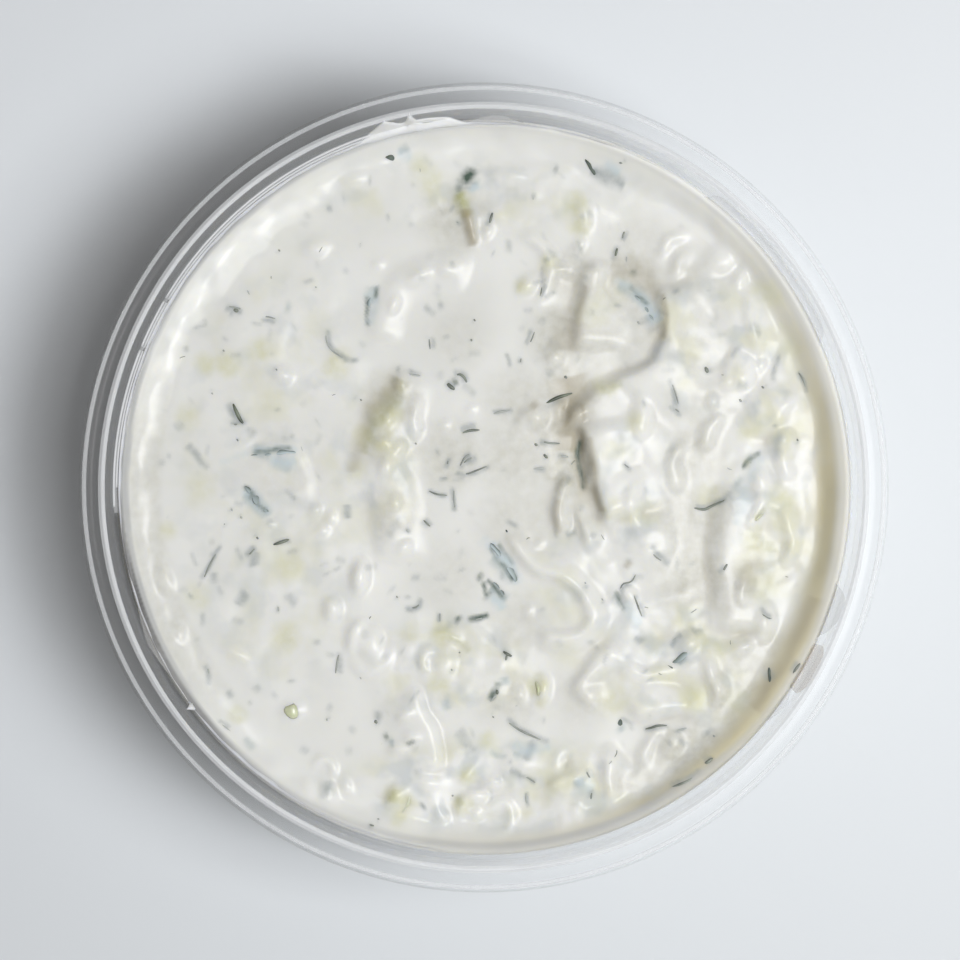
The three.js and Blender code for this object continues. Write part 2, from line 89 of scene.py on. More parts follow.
# Folds and steps of the relief: height, width of the steep side on the left of the line's
# direction, width of the gentle side on its right, then the line.
FOLDS = [
    (0.9, 1.6, 7.0, [(14.8, 19.4), (14.3, 24), (13.9, 28), (14.6, 31), (16.4, 32), (18.5, 31.6)]),
    (1.3, 1.3, 9.5, [(19.6, 15.2), (21, 16), (23, 17), (24.5, 18), (25.5, 19.5), (26.3, 22),
                     (26.2, 25), (25.6, 29.6)]),
    (0.8, 1.6, 8.0, [(13.6, 10.6), (15.5, 12.5), (17, 14), (19, 15), (21, 16)]),
    (1.7, 1.2, 9.5, [(18.6, -5.5), (17.6, -2.5), (16.8, 0), (15.7, 1.2), (16, 3.5), (15.4, 6),
                     (14.6, 9)]),
    (1.3, 0.9, 2.8, [(11, -7), (10.3, -3.5), (10.6, -1.5), (11.3, 0), (12.6, 2.4)]),
    (1.1, 0.9, 2.6, [(16.4, -9.4), (14.3, -5.5), (13.4, -2.6)]),
    (0.8, 1.0, 2.8, [(8.5, -20.8), (11, -21.9), (13.5, -21.8), (15.2, -20.5), (15.8, -18.5),
                     (15.3, -16.5), (13.5, -14.5), (11, -12.8), (8, -12), (6, -10.5),
                     (4.5, -8.5), (3.6, -6.4)]),
    (1.3, 3.2, 9.0, [(35.5, -21), (36, -16), (35.4, -12), (35.4, -9), (35.8, -5), (36.5, 0)]),
    (-0.5, 6.0, 1.4, [(13.6, 24), (13.4, 28), (14.2, 31)]),
    (-0.4, 6.5, 1.4, [(12.8, 10.8), (15, 13.1), (17, 15), (19, 16), (21, 17), (23, 18),
                      (24.6, 20), (25.2, 22), (25, 25)]),
    (-0.7, 5.5, 1.4, [(17.6, -5.5), (16.8, -2.5), (16, 0), (14.9, 1.2), (15.2, 3.5), (14.4, 6),
                      (13.8, 9)]),
    (0.5, 3.0, 5.5, [(-12.8, -11.5), (-13.5, -5), (-13.5, 0), (-13.8, 5), (-13.8, 10),
                     (-12.2, 13.2), (-10.8, 17)]),
    (0.5, 2.4, 4.5, [(-15.8, 21.5), (-13.8, 28), (-10, 31.2), (-5, 32.6), (-1.6, 32)]),
    (0.7, 0.8, 1.7, [(-1.4, 35), (-2.2, 39), (-2.8, 41), (-3.6, 43.8)]),
    (0.5, 0.8, 2.0, [(8, 26.6), (8.8, 30), (9.3, 32.5), (8.8, 34.5), (7.5, 36), (5.4, 36.8)]),
    (0.9, 1.4, 7.5, [(-10.4, -29), (-9, -32), (-8.2, -34), (-7.7, -36), (-7.4, -38),
                     (-7.1, -40), (-6.2, -41.4)]),
    (0.9, 0.9, 3.2, [(-14.2, -47), (-13.4, -44.6), (-12.2, -42.4)]),
    (0.7, 0.8, 2.2, [(-3.6, -48.6), (-3.5, -47), (-2.9, -45.4), (-1, -44.9), (1, -45.3)]),
    (0.5, 0.8, 2.0, [(-3, -43.6), (-2.5, -42), (-1.3, -41)]),
    (0.5, 0.9, 1.0, [(-0.4, -46.8), (3, -46.1), (4, -47.5), (4.2, -49), (3.2, -50.1),
                     (1.2, -50.2)]),
    (0.9, 0.9, 3.6, [(9.5, -44.8), (10.3, -43.3), (12.5, -42.5), (15, -41.6)]),
    (0.9, 1.3, 2.8, [(19.6, -46.4), (18.2, -43), (18, -40), (16.8, -38.4)]),
    (0.6, 0.8, 2.2, [(11.8, -49.4), (11.7, -46.6)]),
    (0.9, 1.4, 3.8, [(29.5, -31.2), (25, -32.4), (21.2, -33.4)]),
    (0.9, 1.3, 3.6, [(16.4, -32.8), (13.4, -29.2), (15.8, -26), (19.4, -22.4)]),
    (0.6, 0.8, 1.2, [(23.6, -41), (23.5, -38.5), (24.8, -36), (26.6, -35.2)]),
    (0.7, 0.9, 1.8, [(33.4, -32.6), (33.6, -30), (32.6, -27.6), (32.2, -24.6)]),
    (0.6, 0.9, 2.2, [(34.6, 14), (35, 17), (35.8, 19), (37.2, 20.4)]),
    (0.6, 1.0, 2.2, [(27, 30.4), (28.2, 31.8), (28.8, 33.3), (30.6, 34.2)]),
    (0.5, 0.8, 1.6, [(25.5, 33.4), (26.5, 35.5), (27.3, 36.4), (30, 36.8)]),
    (0.6, 0.9, 1.8, [(4.6, 8), (4.9, 9.4), (6.2, 11.4), (8, 12.4)]),
    (0.8, 0.9, 2.2, [(-19.8, -24.6), (-19.3, -22), (-18.6, -20), (-17, -19.4)]),
    (0.4, 0.8, 2.6, [(-13.4, -22.4), (-14, -25.5), (-17.5, -26.6), (-20.4, -25.4)]),
    (0.5, 0.7, 1.2, [(-7.6, -21.4), (-6, -20.9), (-4.8, -21.3), (-2.8, -22.4)]),
    (0.6, 0.8, 1.6, [(-8.2, -28), (-8.9, -25.5), (-8.2, -23.8), (-6.2, -23)]),
    (0.4, 0.9, 1.2, [(-38.4, -23), (-36, -24), (-34, -24.8)]),
    (0.5, 0.7, 0.8, [(-25, -41.2), (-24.4, -40.2), (-23.2, -39.6), (-22, -39.9), (-21.8, -41),
                     (-22.6, -42.4)]),
    (0.5, 0.9, 1.8, [(-9.6, 7), (-10.3, 10), (-10, 13.8)]),
    (0.7, 0.9, 1.8, [(38.2, -18), (38, -15), (38.6, -12.6)]),
    (0.7, 1.0, 2.4, [(38.8, -6.4), (40.4, -2), (40.2, 2.4)]),
    (0.6, 1.0, 2.0, [(43.6, -12), (44.4, -7), (44, -2.5)]),
    (0.6, 1.0, 2.2, [(44.6, 0.5), (43.4, 4.8), (44.4, 9)]),
    (0.6, 1.0, 2.4, [(31.6, 5), (32.2, 8.5), (34.4, 11)]),
    (0.5, 1.0, 2.0, [(28.6, -1), (27.6, 3), (28.4, 7)]),
    (0.6, 1.0, 2.2, [(22.4, -7), (21.4, -3), (22.2, 1.5)]),
    (0.5, 1.0, 2.0, [(39.6, 20), (38.4, 24), (39.4, 28)]),
    (0.5, 1.0, 2.0, [(20.6, -26), (24, -27.4), (27.6, -26)]),
    (-1.0, 0.8, 0.7, [(14.2, 9), (14.3, 6), (14.1, 3.6), (14.3, -0.6)]),
    (-0.8, 0.8, 0.8, [(12.4, 9), (12.6, 11.4), (13.6, 12.2)]),
    (-0.5, 1.4, 1.4, [(11.4, -41.8), (12, -40), (12, -38.4)]),
    (-0.3, 1.0, 1.0, [(-30.6, 6.2), (-34.8, 5.2)]),
]

# Lumps: x, y, half length, half width, turn of the length from +X in degrees, height.
LUMPS = [
    (38.0, 24.5, 7.5, 5.0, 100, 0.7),
    (37.4, 17.0, 3.0, 2.0, 80, 0.8),
    (41.0, 11.0, 4.8, 3.9, 70, 0.8),
    (43.5, 7.0, 2.4, 1.6, 40, 0.5),
    (23.0, 9.8, 3.4, 2.4, 85, 0.9),
    (24.5, -8.0, 4.6, 3.6, 40, 0.6),
    (43.6, -4.0, 6.5, 3.6, 95, 0.6),
    (41.0, -20.5, 3.6, 2.4, 75, 0.8),
    (37.6, -23.6, 2.4, 1.6, 30, 0.5),
    (7.8, 10.3, 2.2, 2.0, 0, 0.9),
    (13.8, 9.9, 2.2, 2.0, 90, 1.0),
    (10.6, 19.2, 2.2, 1.6, 80, 0.6),
    (6.2, 29.8, 2.6, 1.6, 50, 0.7),
    (34.5, 33.0, 3.6, 2.6, 35, 0.6),
    (37.6, 30.4, 2.2, 1.5, 80, 0.6),
    (14.4, 40.0, 3.4, 1.4, 90, 0.5),
    (3.2, 45.4, 3.6, 1.9, 0, 0.6),
    (0.9, 37.4, 1.6, 0.9, 60, 0.4),
    (11.0, 32.2, 1.4, 0.9, 30, 0.4),
    (13.7, 35.6, 1.5, 0.9, 60, 0.4),
    (-24.6, 35.3, 2.4, 1.8, 0, 0.5),
    (-15.5, 33.0, 1.4, 0.9, 30, 0.3),
    (-19.0, 45.4, 2.6, 1.0, 10, 0.4),
    (-29.2, 16.4, 2.0, 1.7, 0, 0.5),
    (-24.2, -3.0, 1.5, 1.0, 20, 0.5),
    (-21.8, -4.0, 1.4, 1.0, 80, 0.4),
    (-23.3, -5.8, 1.6, 0.9, 30, 0.4),
    (-31.5, -5.3, 1.4, 0.9, 0, 0.3),
    (-18.3, -13.0, 3.4, 1.8, 82, 1.1),
    (-22.3, -18.0, 2.8, 1.6, 90, 0.8),
    (-16.6, -22.6, 3.2, 2.4, 95, 0.8),
    (-5.6, -25.2, 3.0, 2.2, 70, 0.6),
    (-13.7, 3.0, 2.4, 1.5, 90, 0.5),
    (-13.7, 10.3, 1.8, 1.1, 70, 0.5),
    (-11.6, 5.8, 1.8, 1.0, 60, 0.4),
    (-11.6, -9.0, 1.6, 1.0, 60, 0.5),
    (-5.5, 9.0, 1.3, 0.8, 20, 0.3),
    (-1.7, 11.0, 1.3, 0.8, 60, 0.3),
    (-11.2, -33.0, 1.9, 1.2, 10, 0.6),
    (-12.2, -38.2, 2.2, 1.1, 0, 0.5),
    (-10.0, -36.4, 1.5, 1.1, 0, 0.4),
    (-23.0, -44.2, 3.0, 1.9, 120, 0.6),
    (-25.8, -43.6, 1.8, 1.0, 130, 0.5),
    (-28.0, -32.6, 2.3, 1.9, 0, 0.4),
    (-20.3, -43.0, 1.4, 0.9, 90, 0.4),
    (-6.3, -47.6, 2.2, 1.2, 100, 0.6),
    (-8.0, -43.0, 2.0, 1.0, 160, 0.4),
    (-1.0, -47.6, 1.6, 1.4, 0, 0.5),
    (1.5, -43.4, 1.8, 1.4, 0, 0.6),
    (8.8, -29.4, 2.4, 1.6, 90, 0.6),
    (5.3, -30.0, 1.8, 1.0, 90, 0.3),
    (14.0, -47.6, 1.8, 1.2, 100, 0.5),
    (7.0, -18.1, 1.2, 0.8, 90, 0.3),
    (8.0, -8.4, 1.2, 0.8, 60, 0.3),
    (21.2, -15.5, 2.4, 1.6, 110, 0.4),
    (27.5, -37.4, 2.8, 2.0, 50, 0.5),
    (34.5, -29.0, 2.6, 1.8, 115, 0.5),
    (30.0, -22.6, 2.6, 1.6, 30, 0.5),
    (33.0, 12.5, 1.5, 1.0, 70, 0.4),
    (40.0, 18.0, 1.5, 1.1, 70, 0.4),
    (44.0, 12.6, 1.4, 1.0, 40, 0.4),
    (-46.4, -13.4, 3.2, 1.3, 106, 0.5),
    (-44.8, -21.2, 1.9, 1.0, 112, 0.4),
    (-9.4, 30.6, 2.6, 1.3, 25, 0.5),
    (-13.2, 26.6, 1.7, 1.2, 70, 0.5),
    (-5.6, 31.8, 1.7, 1.0, 170, 0.4),
    (-12.4, 14.8, 1.8, 1.3, 60, 0.5),
    (-14.4, 6.8, 1.5, 1.1, 20, 0.4),
    (-12.6, -2.4, 1.8, 1.0, 80, 0.4),
]

# Where coated bits crowd: x, y, half sizes, how many, height of their bumps.
BIT_FIELDS = [
    (42.5, 2.0, 6.5, 20.0, 70, 0.42),
    (33.0, 21.0, 12.0, 11.0, 50, 0.34),
    (22.0, -1.0, 6.5, 12.0, 34, 0.34),
    (29.0, -25.0, 13.0, 10.0, 60, 0.36),
    (3.0, -43.5, 23.0, 6.5, 75, 0.40),
    (-5.0, -26.0, 12.0, 8.0, 30, 0.32),
    (0.0, 43.5, 24.0, 5.0, 34, 0.28),
    (-13.5, 3.0, 4.0, 13.0, 22, 0.34),
    (-30.0, 2.0, 16.0, 34.0, 46, 0.20),
    (14.0, -14.0, 7.0, 8.0, 16, 0.26),
]

# Dill threads: radius, then the line.
DILL = [
    (0.30, [(9.1, 12.3), (11, 13.2), (13.4, 13.9)]),
    (0.18, [(1.2, 10.7), (2.6, 11.1), (4.1, 11.3)]),
    (0.22, [(7.9, 6.9), (9.5, 6.5), (11.5, 6.4)]),
    (0.24, [(7.4, 6.4), (7.9, 6.1)]),
    (0.26, [(8.7, 4.9), (9.4, 4.2)]),
    (0.20, [(11.1, 4.7), (12.5, 4.4)]),
    (0.17, [(6.9, 2.6), (8, 2.8), (9.1, 2.8)]),
    (0.16, [(20.2, 3.6), (21.8, 2.4)]),
    (0.14, [(7.5, 23), (7.1, 21.8), (6.5, 20.6)]),
    (0.15, [(3.5, 19.5), (3.9, 18.7), (3.9, 17.6)]),
    (0.14, [(5.5, 19), (5.3, 17.9)]),
    (0.24, [(11.8, 16.3), (12.2, 15.9)]),
    (0.20, [(22.4, 24.4), (22.8, 23.8)]),
    (0.34, [(32.3, 17.7), (32.5, 17.2), (32.7, 16.7)]),
    (0.22, [(37.3, 12.9), (37.7, 12.5)]),
    (0.22, [(40.6, 14.8), (41, 14.4)]),
    (0.24, [(45.6, 7.2), (46, 6.6)]),
    (0.20, [(43.3, 19.4), (42.5, 17.5), (42.1, 15.5)]),
    (0.20, [(45.8, 17.1), (46.8, 15.5), (47.2, 13.8)]),
    (0.16, [(27, 16.1), (27.9, 14), (28.5, 11.9)]),
    (0.18, [(27.4, 12.1), (28.2, 11.3), (29.1, 10.7)]),
    (0.24, [(30.7, -3), (32.2, -3.2), (33.4, -2.7), (36, -1.5)]),
    (0.28, [(35.7, -10.9), (34.7, -12.6)]),
    (0.16, [(40.2, -18.2), (41.4, -19), (42.6, -19.4)]),
    (0.17, [(24.1, -8.9), (25.2, -10.2), (26.8, -11.1)]),
    (0.18, [(22.4, -12.3), (21.6, -13.7), (20.3, -14.2), (20, -15.5), (20.7, -17.1)]),
    (0.17, [(21.8, -15.4), (22.6, -17.5), (23.4, -19.6)]),
    (0.16, [(14.6, -13.7), (15, -14.2)]),
    (0.15, [(17.1, -16.1), (17.5, -16.6)]),
    (0.30, [(2.6, -23.8), (3.5, -24.4), (4.4, -24.8)]),
    (0.20, [(3.4, -24.3), (3.2, -25.4)]),
    (0.16, [(27, -23), (28, -22.1), (29.1, -21.4)]),
    (0.18, [(-22.9, 23.4), (-23, 21.6), (-22.3, 20.2), (-21, 19.2), (-19.8, 18.6), (-18, 18.6)]),
    (0.17, [(-11.2, 16.7), (-10.2, 16.4), (-9.1, 16.3)]),
    (0.15, [(-8, 22), (-7.8, 19.9)]),
    (0.18, [(-1.5, 24.6), (-1.1, 24.2)]),
    (0.18, [(-1.9, 21.8), (-1.7, 21.3)]),
    (0.18, [(-18.1, 13), (-17.8, 12.6)]),
    (0.20, [(-10.1, 6.6), (-9.7, 6.2)]),
    (0.42, [(-5.5, 15.4), (-4.9, 14.8), (-4.1, 14.2)]),
    (0.28, [(-4.4, 16.3), (-3.5, 16.5), (-2.8, 16), (-2.3, 14.9)]),
    (0.24, [(-3.3, 7.9), (-2, 8.3), (-0.5, 8.4)]),
    (0.20, [(-5.1, 4.6), (-5.4, 2.7)]),
    (0.17, [(-6.5, 1.2), (-4.9, 1.5)]),
    (0.20, [(-4.1, 2.4), (-2.5, 2), (-1, 2.5), (1, 3.3)]),
    (0.20, [(-3.6, 2.9), (-2.7, 4.4), (-1.7, 5)]),
    (0.20, [(-3.3, 3.3), (-2.2, 4.1), (-0.9, 4.7)]),
    (0.20, [(-37.6, 26.5), (-36, 26.2), (-34.5, 25.8)]),
    (0.34, [(-36.6, 26), (-35.8, 25.7)]),
    (0.18, [(-32.8, 25), (-31.4, 24.9), (-30, 24.5)]),
    (0.18, [(-38.2, 20.2), (-37.8, 19.8)]),
    (0.16, [(-30.4, 17.4), (-30.1, 17)]),
    (0.16, [(-36.1, 7.1), (-35.8, 6.7)]),
    (0.18, [(-39.8, 13.9), (-39.5, 13.5)]),
    (0.36, [(-36.7, 12.4), (-36.1, 11), (-35.5, 9.8), (-34.7, 8.9)]),
    (0.20, [(-36.9, 9.2), (-35.4, 9.2)]),
    (0.17, [(-8.3, -0.4), (-6.8, -1), (-5.1, -1.2)]),
    (0.20, [(-4.4, 0.1), (-4.3, -1.8), (-4.1, -3.9)]),
    (0.18, [(-8.9, -4.7), (-7.6, -5.9)]),
    (0.20, [(-11.4, -6), (-10.7, -6.9)]),
    (0.20, [(-12.8, -15.8), (-12.5, -16.3)]),
    (0.22, [(-11.5, -17.8), (-9.7, -17.4), (-9, -16)]),
    (0.20, [(-21.1, -24), (-21.4, -25.6), (-21.7, -27.5)]),
    (0.18, [(-6.4, -18.2), (-6.4, -19.9)]),
    (0.17, [(-4.3, -20.1), (-3, -18.8)]),
    (0.17, [(-1.8, -19.5), (0.1, -19)]),
    (0.20, [(-4.9, -26.4), (-4.5, -26.8)]),
    (0.18, [(-3.7, -24), (-3.3, -24.3)]),
    (0.20, [(-38.3, -8.4), (-39.8, -10.9), (-41, -13.5)]),
    (0.18, [(-37, -3), (-36.6, -3.5)]),
    (0.18, [(-35.6, -4.1), (-35.3, -4.6)]),
    (0.16, [(-38, -5.2), (-37.7, -5.6)]),
    (0.18, [(-33.2, -7.2), (-32.9, -7.6)]),
    (0.20, [(-33.2, -8.7), (-34.6, -10.2)]),
    (0.26, [(-30.8, -8.4), (-29.6, -8), (-28.4, -7.6)]),
    (0.16, [(-30.1, -17.2), (-29.9, -18.4)]),
    (0.22, [(-40.8, -25.6), (-40.2, -27), (-40.5, -28.9)]),
    (0.26, [(1.4, 40.5), (0.8, 38.4)]),
    (0.22, [(20.6, 37.6), (20.1, 35.8)]),
    (0.28, [(19.6, 35.3), (19.1, 33.2)]),
    (0.20, [(19.7, 47.4), (20.3, 47.3)]),
    (0.15, [(7.2, 42.8), (7.3, 41.6)]),
    (0.15, [(8.7, 30), (8.2, 27.5)]),
    (0.16, [(-4.3, 39), (-3.3, 38.5)]),
    (0.17, [(-18.2, 35.8), (-17.8, 35.4)]),
    (0.17, [(-24.7, 29.4), (-24.3, 29.1)]),
    (0.17, [(-30, 34.8), (-29.7, 34.4)]),
    (0.26, [(46.4, -25.2), (45, -27.1)]),
    (0.26, [(1.9, -29.5), (2, -30.3)]),
    (0.17, [(1.9, -30.2), (0.8, -31.5)]),
    (0.20, [(1.2, -33.4), (1.6, -33.7)]),
    (0.22, [(3.1, -34), (5, -35.3), (6.8, -36.2), (9.3, -37.3)]),
    (0.20, [(5.6, -42.1), (6.6, -42.5), (7.8, -43.3)]),
    (0.16, [(6.2, -44.4), (6.2, -45.7), (6.4, -47)]),
    (0.20, [(14.7, -41.1), (15.2, -41.9), (15.7, -42.8)]),
    (0.18, [(15.8, -44.4), (15.6, -46)]),
    (0.24, [(23.2, -35.4), (24.5, -35.1), (25.5, -34.8), (27.2, -34.8)]),
    (0.20, [(27.9, -35.6), (28.8, -35.4), (29.8, -35.1)]),
    (0.20, [(33.5, -36.2), (33.9, -36.6)]),
    (0.28, [(32.1, -40.3), (32.7, -40), (33.4, -39.4)]),
    (0.24, [(27.1, -43.8), (28.5, -43.3), (30, -42.6), (31.8, -41.5)]),
    (0.22, [(-23, -33.7), (-22.8, -34.2)]),
    (0.30, [(-15.9, -34), (-15.6, -34.5)]),
    (0.22, [(-4.8, -45), (-4.3, -45.1)]),
    (0.22, [(-15.6, -48.4), (-15.2, -48.5)]),
    (0.18, [(-16.8, -49.2), (-15.9, -49.4)]),
    (0.14, [(-38.5, -34.4), (-36.6, -35.9)]),
]

# Soft grey-blue marks of dill and skin under the yoghurt: strength, width, then the line.
SUNK = [
    (0.35, 1.0, [(1.2, 34.5), (1.7, 34.4)]),
    (0.30, 1.2, [(16.4, 41.2), (17, 41.3)]),
    (0.45, 1.3, [(10, 46.9), (11, 46.6)]),
    (0.40, 1.4, [(15.6, 46.4), (18, 45.1), (20.5, 44)]),
    (0.35, 1.0, [(-12.9, 17.2), (-12.1, 16.9)]),
    (0.35, 1.1, [(-43.4, 6.1), (-41.6, 4.6), (-39.9, 3.1)]),
    (0.30, 1.0, [(-34.6, 8.4), (-33.4, 6.8)]),
    (0.40, 1.0, [(-19.4, -2.2), (-19.4, -4.6)]),
    (0.30, 1.3, [(-13.8, -14.4), (-13.2, -14.8)]),
    (0.30, 1.0, [(-6.6, -12.2), (-6.4, -12.6)]),
    (0.30, 0.9, [(-3.5, -6.2), (-3.3, -6.6)]),
    (0.35, 1.1, [(-3, -11.6), (-2.8, -12.2)]),
    (0.40, 1.1, [(-23.6, -10.8), (-23.4, -11.2)]),
    (0.40, 1.1, [(-23.2, -12.2), (-22.8, -12.6)]),
    (0.35, 1.2, [(-12.3, -23.8), (-11.7, -24.2)]),
    (0.45, 1.0, [(-33.4, -9.4), (-33.6, -11.6)]),
    (0.45, 1.1, [(-34.5, -15.1), (-36.1, -17)]),
    (0.40, 1.1, [(11.8, -7.3), (13.6, -6.4)]),
    (0.35, 1.1, [(22.3, -21.4), (23.7, -22.6)]),
    (0.35, 1.1, [(30.3, -21.1), (32.2, -20.3)]),
    (0.40, 1.0, [(18.6, -15.2), (20.1, -17.1)]),
    (0.40, 1.2, [(23.4, -26.8), (23.9, -27.3)]),
    (0.35, 1.4, [(32.2, -35.4), (33, -36.4)]),
    (0.35, 0.9, [(28.4, -36.6), (29.9, -37.7)]),
    (0.35, 1.3, [(4.2, -41.8), (6, -42.2)]),
    (0.40, 1.0, [(-9.9, -38.1), (-9.5, -38.4)]),
    (0.40, 1.1, [(-8.9, -46.8), (-8.2, -46.2)]),
    (0.35, 1.2, [(-15.4, -32), (-15.6, -33.6)]),
    (0.30, 0.9, [(-37.6, -29.6), (-36.7, -31)]),
    (0.30, 1.0, [(-28.1, -28.2), (-28, -28.9)]),
    (0.30, 1.0, [(8.3, -33.8), (9, -34)]),
    (0.35, 1.0, [(-20.7, 42.8), (-20.2, 42.9)]),
    (0.35, 1.1, [(-14, 39.7), (-13.2, 39.8)]),
    (0.30, 1.0, [(-6.5, 40.6), (-6, 40.7)]),
    (0.35, 1.0, [(-16.8, 45), (-16.2, 45.1)]),
    (0.30, 1.3, [(-7.3, 5.4), (-6.7, 5.7)]),
    (0.30, 1.3, [(-24.3, 9.4), (-23.7, 9.7)]),
    (0.35, 1.6, [(23.4, 25.4), (24.6, 22.8)]),
    (0.30, 1.2, [(13, 33.6), (13.1, 34.4)]),
    (0.30, 1.4, [(0.6, -15.6), (1, -16.6)]),
    (0.35, 1.8, [(-23.4, -42.4), (-22.8, -45)]),
    (0.35, 1.4, [(13, -43.4), (15, -43.2)]),
    (0.40, 1.2, [(6.8, -36.8), (7, -38.2), (6.4, -39.8)]),
    (0.30, 1.6, [(-4, -36), (-2.6, -37.6), (-1.4, -38.8)]),
    (0.30, 1.4, [(-30.8, 3.8), (-28, 3)]),
    (0.30, 1.2, [(35.6, -0.8), (37.2, -4.6)]),
]

# Green tints of skin under the yoghurt: strength, width, then the line.
GREENED = [
    (0.5, 1.5, [(-1.6, 44.6), (-0.6, 44.2)]),
    (0.5, 1.1, [(-12.6, 48.2), (-11, 49.1)]),
    (0.5, 0.7, [(-21.4, 45.5), (-21, 45.5)]),
    (0.5, 1.4, [(-16.8, 26.8), (-16.3, 29.6)]),
    (0.5, 1.5, [(19.6, 29.4), (21.8, 28), (23.8, 26.6), (25, 24)]),
    (0.6, 1.5, [(-33.8, 4.7), (-31.2, 4.4)]),
    (0.6, 1.7, [(-34.8, -0.9), (-33, -2), (-31.4, -4)]),
    (0.5, 1.9, [(1.6, -9.8), (3.6, -12.2), (4.8, -14)]),
    (0.6, 1.4, [(1.4, -14.4), (2.8, -15.8), (3.8, -16.8)]),
    (0.5, 1.4, [(38.6, 3.2), (39.6, 3.6)]),
    (0.6, 1.2, [(28, -25.4), (29.4, -24.2)]),
    (0.5, 1.4, [(41.9, -27), (42.2, -28.6)]),
    (0.5, 1.3, [(19.6, -35), (20.4, -36)]),
    (0.5, 1.3, [(-13.8, -37), (-12.6, -37.4)]),
    (0.5, 1.2, [(2.9, -27.5), (3.1, -29)]),
    (0.4, 1.0, [(4.3, -39), (5.9, -39.1)]),
    (0.4, 0.8, [(0.6, -38.8), (2, -39.4), (3.6, -39.6)]),
    (0.4, 1.2, [(-5.8, -31), (-5, -33)]),
    (0.4, 1.1, [(-34.6, -36.4), (-33.4, -38)]),
    (0.4, 1.4, [(-29, 26.5), (-28, 26.3)]),
    (0.4, 1.0, [(36.6, -1), (38, 1.2)]),
]

# Yellow-green tints of cucumber flesh under the yoghurt: x, y, radius, strength.
FLESHED = [
    (-21.3, 18, 2.2, 0.7), (-37.4, 18, 2.0, 0.8), (-40.6, 17.9, 1.6, 0.7), (-32.5, 20, 2.0, 0.7),
    (-43, 10, 2.0, 0.6), (-46.5, -6.7, 1.6, 0.6), (-42, -16, 2.0, 0.5), (-28.5, -11.5, 2.2, 0.7),
    (-28.8, -22, 2.4, 0.7), (13.4, 41.5, 1.8, 0.8), (13.8, 38.4, 1.6, 0.8), (-7.8, 45, 2.2, 0.6),
    (42, 28, 2.2, 0.6), (40, -8, 2.2, 0.8), (43.5, -2, 2.0, 0.8), (41.5, -15, 2.4, 0.6),
    (31.5, -22, 2.0, 0.7), (34, -23.4, 2.0, 0.7), (24, -4, 2.0, 0.5), (-11, -21, 1.8, 0.5),
    (-14, 10.4, 2.2, 0.8), (-14, 8.8, 1.6, 0.6), (-17.5, 8, 1.6, 0.7), (-14.5, 6, 1.6, 0.7),
    (-18.4, 2.6, 1.8, 0.5), (30.8, -30.5, 2.0, 1.0), (8, -28.8, 1.6, 1.0), (19, -31.4, 2.6, 0.6),
    (8.6, -31, 1.0, 0.6), (-11.2, -46, 1.4, 1.0), (-12, -47.8, 1.2, 0.7), (-13.1, -44.2, 1.4, 0.9),
    (-2.3, -42, 1.4, 0.9), (-3.2, -46.4, 1.4, 0.7), (0.6, -37.2, 1.4, 0.7), (-35.8, -33.5, 1.4, 0.7),
    (26, -27.4, 1.8, 0.6), (-6.6, -28.6, 1.6, 0.8), (-6, -21.2, 1.6, 0.9), (17.8, 14.8, 1.8, 0.6),
    (15.6, 25.6, 2.4, 0.5), (18, 27.8, 2.2, 0.4), (33, -1.4, 2.0, 0.6), (-3, 42.2, 1.4, 0.9),
    (9.2, 33, 1.4, 0.6), (5.6, 29.4, 1.4, 0.7), (21.8, 9.6, 1.6, 0.6), (-9, 47.2, 1.6, 0.6),
    (-41.6, 0.4, 2.0, 0.4), (-31, 12.6, 2.0, 0.4), (-24.4, 23.8, 2.0, 0.3), (38.6, 8.6, 1.8, 0.5),
    (44.8, 20.4, 1.8, 0.5), (36, 27.4, 2.0, 0.4), (12.4, -24.6, 2.0, 0.4), (36.8, -31, 2.0, 0.4),
]

# Painted shade: greyer and browner ground, most of it where the folds shade it: x, y, radius,
# strength.
SHADED = [
    (11.5, 22.0, 5.0, 0.7), (12.5, 14.0, 5.0, 0.9), (11.0, 8.0, 4.5, 0.8), (12.5, 2.5, 4.5, 0.9),
    (17.5, 21.0, 4.5, 0.5), (21.5, 23.5, 4.5, 0.5), (5.0, 12.5, 5.0, 0.5), (4.5, 4.5, 6.0, 0.5),
    (13.0, -4.0, 4.5, 0.4), (-13.5, 13.0, 4.0, 0.7), (-14.5, 7.0, 3.5, 0.6), (5.0, -5.0, 6.0, 0.4),
    (30.5, 4.5, 5.0, 0.6), (31.0, -5.0, 6.0, 0.7), (31.0, -13.0, 6.0, 0.8), (36.5, -15.0, 5.0, 0.5),
    (37.0, -31.0, 6.0, 0.8), (30.0, -38.5, 6.0, 0.8), (22.5, -43.0, 4.0, 0.6), (5.0, -20.0, 5.0, 0.4),
    (-4.0, 22.0, 5.0, 0.3), (4.0, -30.5, 5.0, 0.5), (-5.0, -12.5, 5.0, 0.3), (30.0, 29.0, 5.0, 0.4),
    (22.0, 35.0, 5.0, 0.4), (-29.0, 3.0, 6.0, 0.3), (-4.0, 39.5, 5.0, 0.7), (14.0, -31.0, 5.0, 0.3),
    (21.7, 30.6, 4.5, 0.8), (13.0, 30.6, 4.5, 0.7), (-4.5, 4.4, 5.0, 0.6), (39.0, -13.0, 4.5, 0.7),
    (41.5, -24.5, 4.0, 0.6), (30.0, 20.0, 5.0, 0.4), (31.0, 12.0, 5.0, 0.4), (-13.0, -4.0, 4.0, 0.5),
    (38.0, -22.0, 5.0, 0.4), (30.0, -22.0, 4.5, 0.4),
]

